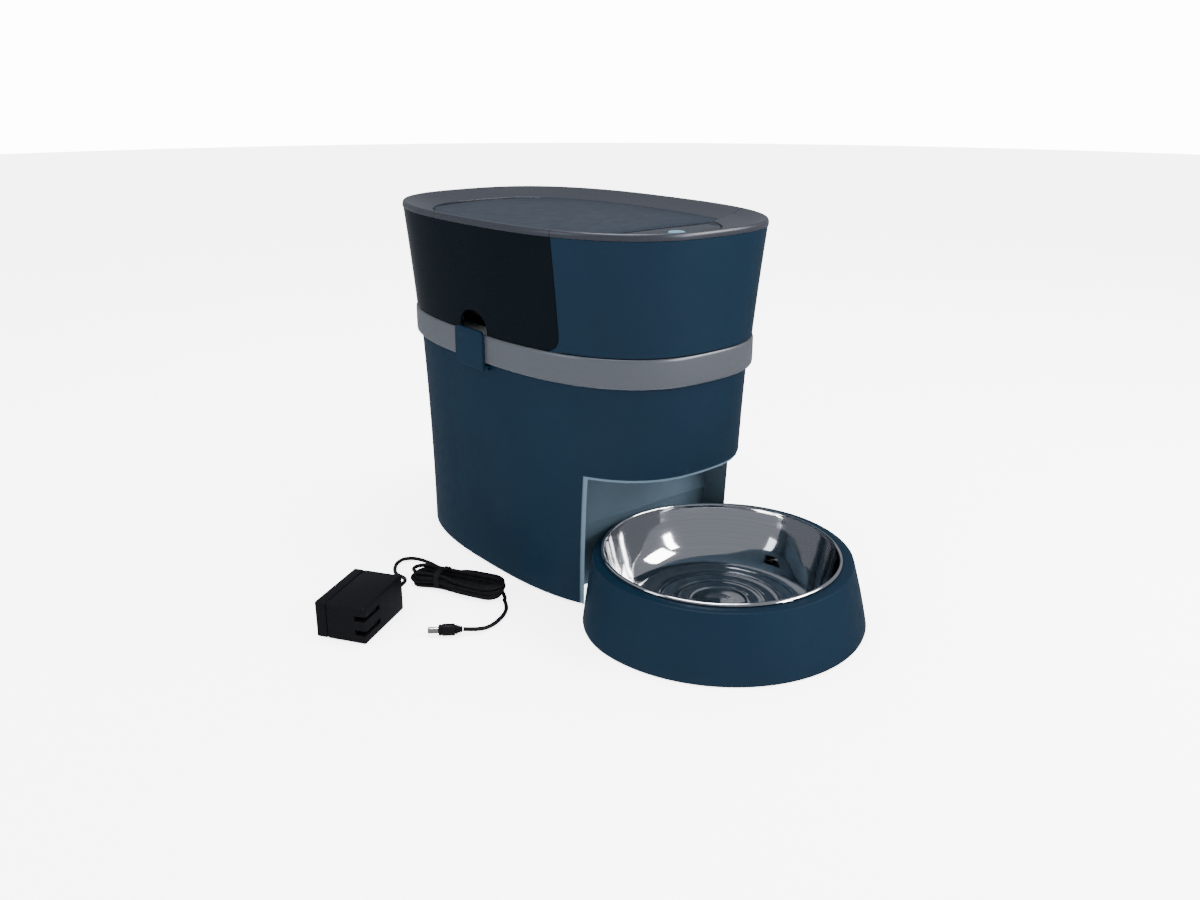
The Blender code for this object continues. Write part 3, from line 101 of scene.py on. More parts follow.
room = bpy.data.worlds.new("pale_room")
room.use_nodes = True
room.node_tree.nodes.clear()
rays = add(room.node_tree, "LightPath")
seen = add(room.node_tree, "Background", {"Color": srgb("#FFFFFF"), "Strength": 14.0})
lit = add(room.node_tree, "Background", {"Color": srgb("#FFFFFF"), "Strength": 2.6})
mirrored = add(room.node_tree, "Background", {"Color": srgb("#D4DAE4"), "Strength": 0.50})
dim = add(room.node_tree, "MixShader",
          {0: rays.outputs["Is Glossy Ray"], 1: lit.outputs[0], 2: mirrored.outputs[0]})
pale = add(room.node_tree, "MixShader",
           {0: rays.outputs["Is Camera Ray"], 1: dim.outputs[0], 2: seen.outputs[0]})
add(room.node_tree, "OutputWorld", {"Surface": pale.outputs[0]})
scene.world = room

FLOOR_REACH = 6.0
FLOOR_DROP = 0.0002
bpy.ops.mesh.primitive_circle_add(vertices=96, radius=FLOOR_REACH, fill_type="NGON",
                                  location=(0, 0, -FLOOR_DROP))
floor = bpy.context.object
floor.name = "floor"
paper = bpy.data.materials.new("matt_white_paper")
paper.use_nodes = True
paper_shader = paper.node_tree.nodes["Principled BSDF"]
paper_shader.inputs["Base Color"].default_value = srgb("#F6F6F8")
paper_shader.inputs["Roughness"].default_value = 0.9
paper_shader.inputs["Emission Color"].default_value = srgb("#FFFFFF")
paper_shader.inputs["Emission Strength"].default_value = 3.8
floor.data.materials.append(paper)
floor.visible_glossy = False

# ---- Cord with its hank.
# A 3.6 mm round PVC lead, 1.66 m long, from the adapter to the connector. It is wound by hand into a hank of
# eight turns on four levels, pinched by a wire tie, and its two ends lie loose on the table.
CORD_RADIUS = 0.0018
hank_low, hank_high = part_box("cord_hank")
HANK_MIDDLE = (hank_low + hank_high) / 2
HANK_TURN = math.radians(-62.5)
HANK_LENGTH = 0.0940
HANK_WIDTH = 0.0300
TIE_ALONG = -0.0150
MID_Y = (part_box("silver_band")[0].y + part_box("silver_band")[1].y) / 2
LEVELS = 4
POINTS_A_TURN = 48
hank_across = Vector((-math.sin(HANK_TURN), math.cos(HANK_TURN), 0))
hank_along = Vector((math.cos(HANK_TURN), math.sin(HANK_TURN), 0))

LEAD_ROUTE = [(-0.2053, -0.0119, 0.0160), (-0.2006, -0.0088, 0.0159), (-0.1955, -0.0040, 0.0150),
              (-0.1912, 0.0045, 0.0130), (-0.1888, 0.0155, 0.0100), (-0.1865, 0.0265, 0.0070),
              (-0.1825, 0.0370, 0.0042), (-0.1765, 0.0480, 0.0026), (-0.1690, 0.0565, 0.0020),
              (-0.1600, 0.0598, 0.0020), (-0.1515, 0.0545, 0.0020), (-0.1468, 0.0435, 0.0020),
              (-0.1448, 0.0310, 0.0020), (-0.1445, 0.0190, 0.0022), (-0.1468, 0.0062, 0.0040)]
TAIL_ROUTE = [(-0.1370, -0.0735, 0.0028), (-0.1402, -0.0795, 0.0020),
              (-0.1450, -0.0853, 0.0020), (-0.1515, -0.0905, 0.0020), (-0.1590, -0.0948, 0.0020),
              (-0.1672, -0.0980, 0.0020), (-0.1755, -0.0995, 0.0026), (-0.1830, -0.0988, 0.0038),
              (-0.1890, -0.0968, 0.0049), (-0.1936, -0.0939, 0.0054)]


def hank_point(along, across, height):
    middle = Vector((HANK_MIDDLE.x, HANK_MIDDLE.y, 0))
    return middle + hank_along * along + hank_across * across + Vector((0, 0, height))


def pinch(along):
    """1 under the tie, falling to 0 a few centimetres from it."""
    return math.exp(-((along - TIE_ALONG) / 0.020) ** 2)


def turn_points():
    """The eight turns: down through the levels, the outer and the inner ring of each in turn."""
    outer, inner = HANK_WIDTH / 2 - CORD_RADIUS, HANK_WIDTH / 2 - 3 * CORD_RADIUS - 0.0001
    order = []
    for level in reversed(range(LEVELS)):
        rings = (outer, inner) if level % 2 else (inner, outer)
        order += [(level, radius) for radius in rings]
    stagger = random.Random(7)
    order = [(level, radius, stagger.uniform(0.0, 0.0030)) for level, radius in order]
    points = []
    for index, (level, radius, short) in enumerate(order):
        following = order[min(index + 1, len(order) - 1)]
        reach = HANK_LENGTH / 2 - outer - CORD_RADIUS - short
        straight = 2 * reach
        whole = 2 * straight + 2 * math.pi * radius
        for k in range(POINTS_A_TURN):
            run = whole * k / POINTS_A_TURN
            if run < straight:
                along, across = -reach + run, radius
            elif run < straight + math.pi * radius:
                turn = (run - straight) / radius
                along, across = reach + radius * math.sin(turn), radius * math.cos(turn)
            elif run < 2 * straight + math.pi * radius:
                along, across = reach - (run - straight - math.pi * radius), -radius
            else:
                turn = (run - 2 * straight - math.pi * radius) / radius
                along, across = -reach - radius * math.sin(turn), -radius * math.cos(turn)
            share = min(max((run / whole - 0.55) / 0.30, 0.0), 1.0)
            share = share * share * (3 - 2 * share)
            across *= 1 + (following[1] / radius - 1) * share
            height = level + (following[0] - level) * share
            across *= 1 - 0.30 * pinch(along)
            lift = CORD_RADIUS + 0.0002 + 0.0010 * pinch(along)
            points.append(hank_point(along, across, lift + height * 2 * CORD_RADIUS * 0.985))
    return points


def through(route, spacing):
    """Points about spacing apart on a smooth curve through the route."""
    padded = [2 * route[0] - route[1]] + route + [2 * route[-1] - route[-2]]
    fine = []
    for a, b, c, d in zip(padded, padded[1:], padded[2:], padded[3:]):
        steps = max(2, round((c - b).length / spacing))
        for k in range(steps):
            t = k / steps
            bend = (2 * a - 5 * b + 4 * c - d) * t ** 2 + (3 * b - a - 3 * c + d) * t ** 3
            fine.append(b + 0.5 * ((c - a) * t + bend))
    return fine + [route[-1]]


lead = [Vector((x, MID_Y + y, z)) for x, y, z in LEAD_ROUTE]
tail = [Vector((x, MID_Y + y, z)) for x, y, z in TAIL_ROUTE]
turns = turn_points()
first = next(i for i, p in enumerate(turns) if (p - turns[0]).dot(hank_along) > 0.052)
last = len(turns) - POINTS_A_TURN + 17
climb = [hank_point(-0.0080, 0.0168, 0.0075), hank_point(0.0040, 0.0160, 0.0105)]
fall = [hank_point(0.0478, -0.0010, 0.0022), hank_point(0.0505, -0.0068, 0.0024)]
cord_line = through(lead + climb + turns[first:last] + fall + tail, 0.0016)
cord_curve = bpy.data.curves.new("cord", "CURVE")
cord_curve.dimensions = "3D"
cord_curve.bevel_depth = CORD_RADIUS
cord_curve.bevel_resolution = 3
cord_curve.use_fill_caps = True
cord_spline = cord_curve.splines.new("POLY")
cord_spline.points.add(len(cord_line) - 1)
for knot, point in zip(cord_spline.points, cord_line):
    knot.co = (*point, 1)
cord_spline.use_smooth = True
cord = bpy.data.objects.new("cord", cord_curve)
scene.collection.objects.link(cord)


def material(name, roughness, metallic=0.0, ior=1.5):
    """A new material: its tree and its Principled shader, with the settings that are the same all over."""
    made = bpy.data.materials.new(name)
    made.use_nodes = True
    shader = made.node_tree.nodes["Principled BSDF"]
    shader.inputs["Roughness"].default_value = roughness
    shader.inputs["Metallic"].default_value = metallic
    if not metallic:
        shader.inputs["IOR"].default_value = ior
        shader.inputs["Specular IOR Level"].default_value = 0.05
    return made, made.node_tree, shader


def moulded(name, colour, roughness, grain, depth, ior=1.53, variation=0.10):
    """Injection-moulded plastic. The tool's spark-eroded grain is a bump of the given size in metres, and the
    melt's flow and years of wiping leave it a little uneven in colour and gloss."""
    made, tree, shader = material(name, roughness, ior=ior)
    place = add(tree, "TexCoord").outputs["Object"]
    flow = add(tree, "TexNoise", {"Vector": place, "Scale": 1 / 0.055, "Detail": 3.0, "Roughness": 0.55})
    shade = [min(1.0, channel * (1 - variation)) for channel in srgb(colour)[:3]]
    light = [min(1.0, channel * (1 + variation)) for channel in srgb(colour)[:3]]
    tone = add(tree, "Mix", {0: flow.outputs["Fac"], 6: (*shade, 1), 7: (*light, 1)}, data_type="RGBA")
    tree.links.new(tone.outputs[2], shader.inputs["Base Color"])
    rubbed = add(tree, "TexNoise", {"Vector": place, "Scale": 1 / 0.012, "Detail": 4.0, "Roughness": 0.6})
    gloss = add(tree, "MapRange", {"Value": rubbed.outputs["Fac"], "From Min": 0.3, "From Max": 0.7,
                                   "To Min": roughness * 0.90, "To Max": roughness * 1.10})
    tree.links.new(gloss.outputs["Result"], shader.inputs["Roughness"])
    texture = add(tree, "TexNoise", {"Vector": place, "Scale": 1 / grain, "Detail": 2.0, "Roughness": 0.6})
    bump = add(tree, "Bump", {"Height": texture.outputs["Fac"], "Distance": depth, "Strength": 0.5})
    tree.links.new(bump.outputs["Normal"], shader.inputs["Normal"])
    return made


# Soft PVC straight off the extruder: black, a satin skin with faint draw marks and handling scuffs.
cord_pvc = moulded("black_extruded_pvc", "#0A0A0C", 0.42, 0.0012, 0.00004)
cord_curve.materials.append(cord_pvc)
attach(cord, "base")
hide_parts("cord_lead", "cord_hank", "cord_tail")


# ---- Tie round the hank.
# A paper-thin strip of black plastic over soft wire, wound twice round the cord and twisted shut on top.
def sweep(name, centres, section, sideways):
    """Skin over a flat section carried along a line; sideways gives the section's first axis at points."""
    bm = bmesh.new()
    rows = []
    for i, centre in enumerate(centres):
        forward = (centres[min(i + 1, len(centres) - 1)] - centres[max(i - 1, 0)]).normalized()
        side = (sideways - forward * sideways.dot(forward)).normalized()
        up = forward.cross(side)
        rows.append([bm.verts.new(centre + side * u + up * v) for u, v in section])
    for lower, upper in zip(rows, rows[1:]):
        for i in range(len(section)):
            j = (i + 1) % len(section)
            bm.faces.new((lower[i], lower[j], upper[j], upper[i]))
    bm.faces.new(rows[0][::-1])
    bm.faces.new(rows[-1])
    return made_of(name, bm)


def made_of(name, bm, sharp=32):
    bmesh.ops.recalc_face_normals(bm, faces=bm.faces)
    mesh = bpy.data.meshes.new(name)
    bm.to_mesh(mesh)
    bm.free()
    mesh.shade_smooth()
    mesh.set_sharp_from_angle(angle=math.radians(sharp))
    obj = bpy.data.objects.new(name, mesh)
    scene.collection.objects.link(obj)
    return obj


TIE_HALF_WIDTH = 0.0112
TIE_HALF_HEIGHT = 0.0080
TIE_STEPS = 96
TIE_WRAPS = 2
strip = [(-0.0013, -0.0002), (0.0013, -0.0002), (0.0016, 0.0), (0.0013, 0.0002), (0.0003, 0.0002),
         (0.0, 0.0005),
         (-0.0003, 0.0002), (-0.0013, 0.0002), (-0.0016, 0.0)]
tie_line = []
for k in range(TIE_WRAPS * TIE_STEPS + 1):
    angle = math.pi / 2 + 2 * math.pi * k / TIE_STEPS
    drift = 0.0044 * (k / TIE_STEPS / TIE_WRAPS - 0.5)
    c, s = math.cos(angle), math.sin(angle)
    across = TIE_HALF_WIDTH * math.copysign(abs(c) ** 0.6, c)
    height = TIE_HALF_HEIGHT * math.copysign(abs(s) ** 0.6, s)
    tie_line.append(hank_point(TIE_ALONG + drift, across, TIE_HALF_HEIGHT + 0.0006 + height))
cord_tie = sweep("cord_tie_wire", tie_line, strip, hank_along)
tie_plastic = moulded("black_tie_plastic", "#0E0E10", 0.36, 0.0008, 0.00003)
cord_tie.data.materials.append(tie_plastic)
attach(cord_tie, "base")
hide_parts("cord_tie")

# ---- Connector on the cord's end.
# A soft PVC grip moulded over a nickel-plated barrel plug. The grip has flats for the fingers and a
# ribbed tail that lets the cord bend.
PLUG_HALF = 0.00975
BARREL_HALF = 0.00425
PLUG_TURN = math.radians(145)
plug_axis = Vector((math.cos(PLUG_TURN), math.sin(PLUG_TURN), 0))
plug_side = Vector((-plug_axis.y, plug_axis.x, 0))
barrel_middle = Vector((-0.2173, MID_Y - 0.0773, 0.0054)) - plug_axis * BARREL_HALF
plug_middle = barrel_middle - plug_axis * (BARREL_HALF + 0.0003 + PLUG_HALF)


def rings_along(name, centre, axis, side, rows, count=32, squash=1.0):
    """Closed skin through rings round an axis: rows of (distance along the axis, radius)."""
    up = axis.cross(side)
    bm = bmesh.new()
    made = []
    for along, radius in rows:
        ring = []
        for i in range(count):
            a = 2 * math.pi * i / count
            ring.append(bm.verts.new(centre + axis * along + side * radius * math.cos(a) * squash
                                     + up * radius * math.sin(a)))
        made.append(ring)
    for lower, upper in zip(made, made[1:]):
        for i in range(count):
            j = (i + 1) % count
            bm.faces.new((lower[i], lower[j], upper[j], upper[i]))
    bm.faces.new(made[0])
    bm.faces.new(made[-1])
    return made_of(name, bm)


grip_rows = [(-PLUG_HALF - 0.0002, 0.0019), (-PLUG_HALF, 0.0024)]
for rib in range(4):
    start = -PLUG_HALF + 0.0003 + rib * 0.0014
    width = 0.0027 + rib * 0.00045
    grip_rows += [(start, width), (start + 0.0008, width + 0.0001), (start + 0.0010, width - 0.0004),
                  (start + 0.0013, width - 0.0004)]
grip_rows += [(-0.0036, 0.0048), (-0.0030, 0.0051), (0.0060, 0.0051), (0.0068, 0.0049), (0.0070, 0.0044),
              (0.0076, 0.0044), (0.0078, 0.0047), (0.0094, 0.0046), (0.00975, 0.0042), (0.0098, 0.0030)]
grip = rings_along("connector_grip", plug_middle, plug_axis, plug_side, grip_rows, squash=0.96)
grip.data.materials.append(moulded("black_moulded_pvc", "#09090B", 0.38, 0.0010, 0.00003))
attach(grip, "base")
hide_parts("connector_body")

barrel_rows = [(-BARREL_HALF - 0.0004, 0.0022), (-BARREL_HALF, 0.00275), (BARREL_HALF - 0.0008, 0.00275),
               (BARREL_HALF - 0.0002, 0.0026), (BARREL_HALF, 0.0023), (BARREL_HALF, 0.0016),
               (BARREL_HALF - 0.0040, 0.0015), (BARREL_HALF - 0.0040, 0.0008), (BARREL_HALF - 0.0006, 0.0007),
               (BARREL_HALF - 0.0004, 0.0004)]
barrel = rings_along("connector_tip", barrel_middle, plug_axis, plug_side, barrel_rows)


def metal(name, colour, roughness, line, depth, stretch):
    """Metal with fine lines from its working: line is their spacing in metres, stretch how far they run."""
    made, tree, shader = material(name, roughness, metallic=1.0)
    place = add(tree, "TexCoord").outputs["Object"]
    drawn = add(tree, "Mapping", {"Vector": place, "Scale": stretch})
    marks = add(tree, "TexNoise", {"Vector": drawn.outputs["Vector"], "Scale": 1 / line, "Detail": 4.0})
    dull = add(tree, "MapRange", {"Value": marks.outputs["Fac"], "From Min": 0.3, "From Max": 0.7,
                                  "To Min": roughness * 0.8, "To Max": roughness * 1.25})
    tree.links.new(dull.outputs["Result"], shader.inputs["Roughness"])
    shade = [channel * 0.9 for channel in srgb(colour)[:3]]
    tone = add(tree, "Mix", {0: marks.outputs["Fac"], 6: (*shade, 1), 7: srgb(colour)},
               data_type="RGBA")
    tree.links.new(tone.outputs[2], shader.inputs["Base Color"])
    bump = add(tree, "Bump", {"Height": marks.outputs["Fac"], "Distance": depth, "Strength": 0.4})
    tree.links.new(bump.outputs["Normal"], shader.inputs["Normal"])
    return made


nickel_plate = metal("bright_nickel_plate", "#CFCBC2", 0.16, 0.0006, 0.00001, (1, 1, 1))
barrel.data.materials.append(nickel_plate)
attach(barrel, "base")
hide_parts("connector_barrel")

# ---- Base housing.
# One deep moulding in dark blue ABS, tapering to the floor, with a neck that the silver band is pressed over.
# The tool's fine spark grain gives it a satin face.
band_low, band_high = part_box("silver_band")
SQUARENESS = 2.645
HALF_X = (band_high.x - band_low.x) / 2
HALF_Y = (band_high.y - band_low.y) / 2
UNDERCUT = 0.0044
TAPER = 0.0051
WALL = 0.0025
FINE = 224                      # points round a full outline


def plan_point(inset, angle):
    c, s = math.cos(angle), math.sin(angle)
    return ((HALF_X - inset) * math.copysign(abs(c) ** (2 / SQUARENESS), c),
            MID_Y + (HALF_Y - inset) * math.copysign(abs(s) ** (2 / SQUARENESS), s))


def full_ring(inset, z):
    """The body's whole outline, inset from the band's face. Points crowd towards the sharper corners."""
    return [Vector((*plan_point(inset, 2 * math.pi * (i + 0.5) / FINE), z)) for i in range(FINE)]


def filleted(corners, steps=4):
    """A closed profile with each (u, v, radius) corner rounded."""
    result = []
    count = len(corners)
    for i, (u, v, radius) in enumerate(corners):
        corner = Vector((u, v))
        before, after = Vector(corners[i - 1][:2]), Vector(corners[(i + 1) % count][:2])
        if radius <= 0:
            result.append(corner)
            continue
        into, out = before - corner, after - corner
        reach = min(radius, 0.45 * into.length, 0.45 * out.length)
        start, end = corner + into.normalized() * reach, corner + out.normalized() * reach
        for k in range(steps + 1):
            t = k / steps
            result.append(start.lerp(corner, t).lerp(corner.lerp(end, t), t))
    return result


def skin(name, rings, closed=True):
    """Skin through rings of equal count; closed joins the last to the first, else both ends are capped."""
    bm = bmesh.new()
    rows = [[bm.verts.new(point) for point in ring] for ring in rings]
    for lower, upper in list(zip(rows, rows[1:])) + ([(rows[-1], rows[0])] if closed else []):
        for i in range(len(lower)):
            j = (i + 1) % len(lower)
            bm.faces.new((lower[i], lower[j], upper[j], upper[i]))
    if not closed:
        bm.faces.new(rows[0])
        bm.faces.new(rows[-1])
    return made_of(name, bm)


def base_inset(z):
    return UNDERCUT + TAPER * (1 - (z / band_low.z) ** 2)


def cutter(low, high):
    bm = bmesh.new()
    size = [b - a for a, b in zip(low, high)]
    middle = [(a + b) / 2 for a, b in zip(low, high)]
    bmesh.ops.create_cube(bm, size=1.0, matrix=Matrix.Translation(middle) @ Matrix.Diagonal((*size, 1.0)))
    return made_of("cutter", bm)


def cut(piece, tool, operation="DIFFERENCE"):
    """Applies a Boolean with the tool, and removes the tool."""
    boolean = piece.modifiers.new("cut", "BOOLEAN")
    boolean.operation = operation
    boolean.object = tool
    scene.view_layers[0].update()
    graph = bpy.context.evaluated_depsgraph_get()
    mesh = bpy.data.meshes.new_from_object(piece.evaluated_get(graph))
    piece.modifiers.remove(boolean)
    piece.data = mesh
    mesh.shade_smooth()
    mesh.set_sharp_from_angle(angle=math.radians(32))
    bpy.data.objects.remove(tool)
    return piece


housing_low, housing_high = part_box("base_housing")
liner_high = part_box("chute_liner")[1]
BAY_SIDE = liner_high.x + 0.0003
wall_heights = [0.02, 0.04, 0.06, 0.08, 0.10, 0.12, 0.14, 0.16, 0.18]
corners = [(base_inset(housing_low.z), housing_low.z, 0.0018)]
corners += [(base_inset(z), z, 0) for z in wall_heights]
corners += [(UNDERCUT, band_low.z - 0.0005, 0.0004), (UNDERCUT + 0.0003, band_low.z, 0),
            (UNDERCUT + 0.0003, housing_high.z, 0.0006), (UNDERCUT + WALL, housing_high.z, 0.0006)]
corners += [(base_inset(z) + WALL, z, 0) for z in reversed(wall_heights[1::2])]
corners += [(base_inset(housing_low.z) + WALL, housing_low.z, 0.0006)]
base_housing = skin("base_shell", [full_ring(inset, z) for inset, z in filleted(corners)])
cut(base_housing, cutter((-BAY_SIDE, MID_Y - 0.25, -0.01), (BAY_SIDE, MID_Y - 0.09, liner_high.z + 0.0003)))
LUG_WIDTH = 0.0030
for node in ("latch_pin_left", "latch_pin_right"):
    pin_low, pin_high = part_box(node)
    pin = (pin_low + pin_high) / 2
    side = math.copysign(1, pin.x)
    for y in (pin_low.y + LUG_WIDTH / 2, pin_high.y - LUG_WIDTH / 2):
        knuckle = rings_along("knuckle", Vector((pin.x, y, pin.z)), Vector((0, 1, 0)), Vector((1, 0, 0)),
                              [(-LUG_WIDTH / 2, 0.0020), (-LUG_WIDTH / 2 + 0.0003, 0.0023),
                               (LUG_WIDTH / 2 - 0.0003, 0.0023), (LUG_WIDTH / 2, 0.0020)], 24)
        cut(base_housing, knuckle, "UNION")
        near_x, far_x = sorted((pin.x, side * (HALF_X - UNDERCUT - 0.0012)))
        arm = cutter((near_x, y - LUG_WIDTH / 2 + 0.0001, pin.z - 0.0021),
                     (far_x, y + LUG_WIDTH / 2 - 0.0001, pin.z + 0.0021))
        cut(base_housing, arm, "UNION")
# Dark blue ABS with a satin spark grain of about 0.5 mm, drawn at 0.9 mm so that it shows.
NAVY = "#061521"
navy_abs = moulded("satin_navy_abs", NAVY, 0.40, 0.0009, 0.00005)
base_housing.data.materials.append(navy_abs)
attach(base_housing, "base")
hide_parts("base_housing")

# ---- Silver band.
# A trim ring moulded in ABS and sprayed silver, pressed over the neck. The flake in the paint gives it a
# soft metal sheen, and its rounded upper edge catches the light.
lip = UNDERCUT - 0.0003
band_corners = [(0.0010, band_low.z, 0.0006), (0.0, band_low.z + 0.0016, 0.0012),
                (-0.0001, band_low.z + 0.010, 0),
                (0.0, band_high.z - 0.0018, 0.0012), (0.0010, band_high.z, 0.0008),
                (lip, band_high.z, 0.0006),
                (lip, band_low.z, 0.0006)]
silver_band = skin("trim_band", [full_ring(inset, z) for inset, z in filleted(band_corners)])


def sprayed(name, colour, metallic, roughness):
    """Metallic lacquer over plastic: aluminium flake about 0.1 mm across, drawn at 0.35 mm, and a faint
    orange-peel in the clear coat."""
    made, tree, shader = material(name, roughness, metallic=metallic)
    place = add(tree, "TexCoord").outputs["Object"]
    flake = add(tree, "TexVoronoi", {"Vector": place, "Scale": 1 / 0.00035})
    tone = add(tree, "Mix", {0: flake.outputs["Distance"],
                             6: (*[min(1.0, channel * 1.12) for channel in srgb(colour)[:3]], 1),
                             7: (*[channel * 0.90 for channel in srgb(colour)[:3]], 1)}, data_type="RGBA")
    tree.links.new(tone.outputs[2], shader.inputs["Base Color"])
    peel = add(tree, "TexNoise", {"Vector": place, "Scale": 1 / 0.0016, "Detail": 2.0})
    dull = add(tree, "MapRange", {"Value": peel.outputs["Fac"], "From Min": 0.3, "From Max": 0.7,
                                  "To Min": roughness * 0.92, "To Max": roughness * 1.08})
    tree.links.new(dull.outputs["Result"], shader.inputs["Roughness"])
    bump = add(tree, "Bump", {"Height": peel.outputs["Fac"], "Distance": 0.00002, "Strength": 0.4})
    tree.links.new(bump.outputs["Normal"], shader.inputs["Normal"])
    shader.inputs["Coat Weight"].default_value = 0.05
    shader.inputs["Coat Roughness"].default_value = 0.18
    return made


silver_paint = sprayed("sprayed_silver", "#46494F", 0.60, 0.34)
silver_band.data.materials.append(silver_paint)
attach(silver_band, "base")
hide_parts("silver_band")

# ---- Hopper.
# The food hopper is moulded in smoked plastic, nearly black and polished, so it is the glossiest face of
# the feeder. Its side has a finger notch over each latch, and its front lower corners are rounded.
hopper_low, hopper_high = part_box("hopper")
rim_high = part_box("hopper_rim")[1]
SEAM_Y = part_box("tower_cover")[1].y + 0.0003
SEAM_GAP = 0.0003
HOPPER_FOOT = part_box("tower_cover")[0].z
STEP = 0.0010
FLARE = 0.0076
FACE_POINTS = 24
CORNER_RADIUS = 0.0130


def hopper_inset(z):
    share = (z - HOPPER_FOOT) / (hopper_high.z - HOPPER_FOOT)
    return STEP - (STEP + FLARE - 0.0006) * (0.85 * share + 0.15 * share * share)


def half_ring(inset, z, seam_y, rear):
    """The outline behind the seam plane (rear) or ahead of it, closed by a straight run along the plane."""
    share = (seam_y - MID_Y) / (HALF_Y - inset)
    crossing = math.asin(math.copysign(abs(share) ** (SQUARENESS / 2), share))
    start, span = (crossing, math.pi - 2 * crossing) if rear else (math.pi - crossing, math.pi + 2 * crossing)
    count = FINE - FACE_POINTS
    arc = [Vector((*plan_point(inset, start + span * i / (count - 1)), z)) for i in range(count)]
    steps = FACE_POINTS + 1
    return arc + [arc[-1].lerp(arc[0], i / steps) for i in range(1, steps)]


OUTLET_LOW = hopper_low.z
OUTLET_HALF = (0.0270, 0.0330)
OUTLET_Y = MID_Y - 0.030
FUNNEL_TOP = 0.2520
FUNNEL_WALL = 0.0022


def outlet_point(point, grow):
    angle = math.atan2(point.y - OUTLET_Y, point.x)
    spread = [abs(f(angle)) / (half + grow) for f, half in zip((math.cos, math.sin), OUTLET_HALF)]
    reach = sum(s ** 6 for s in spread) ** (-1 / 6)
    return Vector((reach * math.cos(angle), OUTLET_Y + reach * math.sin(angle), OUTLET_LOW))


seam_face = SEAM_Y + SEAM_GAP
hopper_heights = [HOPPER_FOOT, 0.236, 0.246, 0.258, 0.270, 0.284, 0.298, hopper_high.z]
rings = [half_ring(hopper_inset(z), z, seam_face, True) for z in hopper_heights]
rings += [half_ring(hopper_inset(z) + WALL, z, seam_face + WALL, True) for z in (hopper_high.z, 0.29, 0.27)]
seat_inset = hopper_inset(FUNNEL_TOP) + WALL
seat = half_ring(seat_inset, FUNNEL_TOP, seam_face + WALL, True)
soft_seat = half_ring(seat_inset + 0.0006, FUNNEL_TOP - 0.0008, seam_face + WALL + 0.0006, True)
rings += [half_ring(seat_inset, FUNNEL_TOP + 0.0015, seam_face + WALL, True), seat, soft_seat]
rings += [[outlet_point(point, 0.0) for point in seat], [outlet_point(point, FUNNEL_WALL) for point in seat]]
under = half_ring(seat_inset + 0.0004, FUNNEL_TOP - 0.0040, seam_face + WALL + 0.0004, True)
rings += [under, half_ring(hopper_inset(HOPPER_FOOT) + WALL, HOPPER_FOOT, seam_face + WALL, True)]
hopper = skin("hopper_shell", rings)


def prism(outline, low_x, high_x):
    """Solid of a (y, z) outline between two planes of x."""
    bm = bmesh.new()
    ends = [[bm.verts.new((x, y, z)) for y, z in outline] for x in (low_x, high_x)]
    for i in range(len(outline)):
        j = (i + 1) % len(outline)
        bm.faces.new((ends[0][i], ends[0][j], ends[1][j], ends[1][i]))
    bm.faces.new(ends[0])
    bm.faces.new(ends[1])
    return made_of("cutter", bm)


NOTCH_HALF = 0.0200
NOTCH_HIGH = 0.2455
latch_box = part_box("latch_left")
LATCH_Y = (latch_box[0].y + latch_box[1].y) / 2
shoulder = band_high.z + 0.006
arch = [(LATCH_Y - 0.003 + NOTCH_HALF * math.cos(math.pi * i / 32),
         shoulder + (NOTCH_HIGH - shoulder) * math.sin(math.pi * i / 32)) for i in range(33)]
arch += [(LATCH_Y - 0.003 - NOTCH_HALF, HOPPER_FOOT - 0.01),
         (LATCH_Y - 0.003 + NOTCH_HALF, HOPPER_FOOT - 0.01)]
corner_middle = (seam_face + CORNER_RADIUS, HOPPER_FOOT + CORNER_RADIUS)
corner = [(corner_middle[0] - CORNER_RADIUS * math.sin(a), corner_middle[1] - CORNER_RADIUS * math.cos(a))
          for a in (math.pi / 2 * i / 12 for i in range(13))]
corner += [(seam_face - 0.01, corner_middle[1]), (seam_face - 0.01, HOPPER_FOOT - 0.01),
           (corner_middle[0], HOPPER_FOOT - 0.01)]
for side in (-1, 1):
    near, far = sorted((side * (HALF_X - 0.007), side * (HALF_X + 0.006)))
    cut(hopper, prism(arch, near, far))
    near, far = sorted((side * 0.040, side * (HALF_X + 0.006)))
    cut(hopper, prism(corner, near, far))
SHELF_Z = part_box("lid_seal")[0].z - 0.0003
seam_outer = half_ring(-FLARE + 0.0045, 0, SEAM_Y, True)[0].x + 0.0004
seam_inner = half_ring(-FLARE + 0.0390, 0, SEAM_Y, True)[0].x - 0.0050


def lower_seam_wall(shell, centre_z, near_y, far_y):
    """Cuts the flat wall at the seam down to centre_z in the middle, and to the rim's slope beside it."""
    side_z = SHELF_Z - 0.0026
    for side in (-1, 1):
        bm = bmesh.new()
        outline = [(side * seam_inner, side_z), (side * seam_outer, side_z + 0.0040),
                   (side * seam_outer, 0.34),
                   (side * seam_inner, 0.34)]
        ends = [[bm.verts.new((x, y, z)) for x, z in outline] for y in (near_y, far_y)]
        for i in range(4):
            j = (i + 1) % 4
            bm.faces.new((ends[0][i], ends[0][j], ends[1][j], ends[1][i]))
        bm.faces.new(ends[0])
        bm.faces.new(ends[1])
        cut(shell, made_of("cutter", bm))
    cut(shell, cutter((-seam_inner - 0.001, near_y, centre_z), (seam_inner + 0.001, far_y, 0.34)))


lower_seam_wall(hopper, SHELF_Z, seam_face - 0.001, seam_face + WALL + 0.0006)

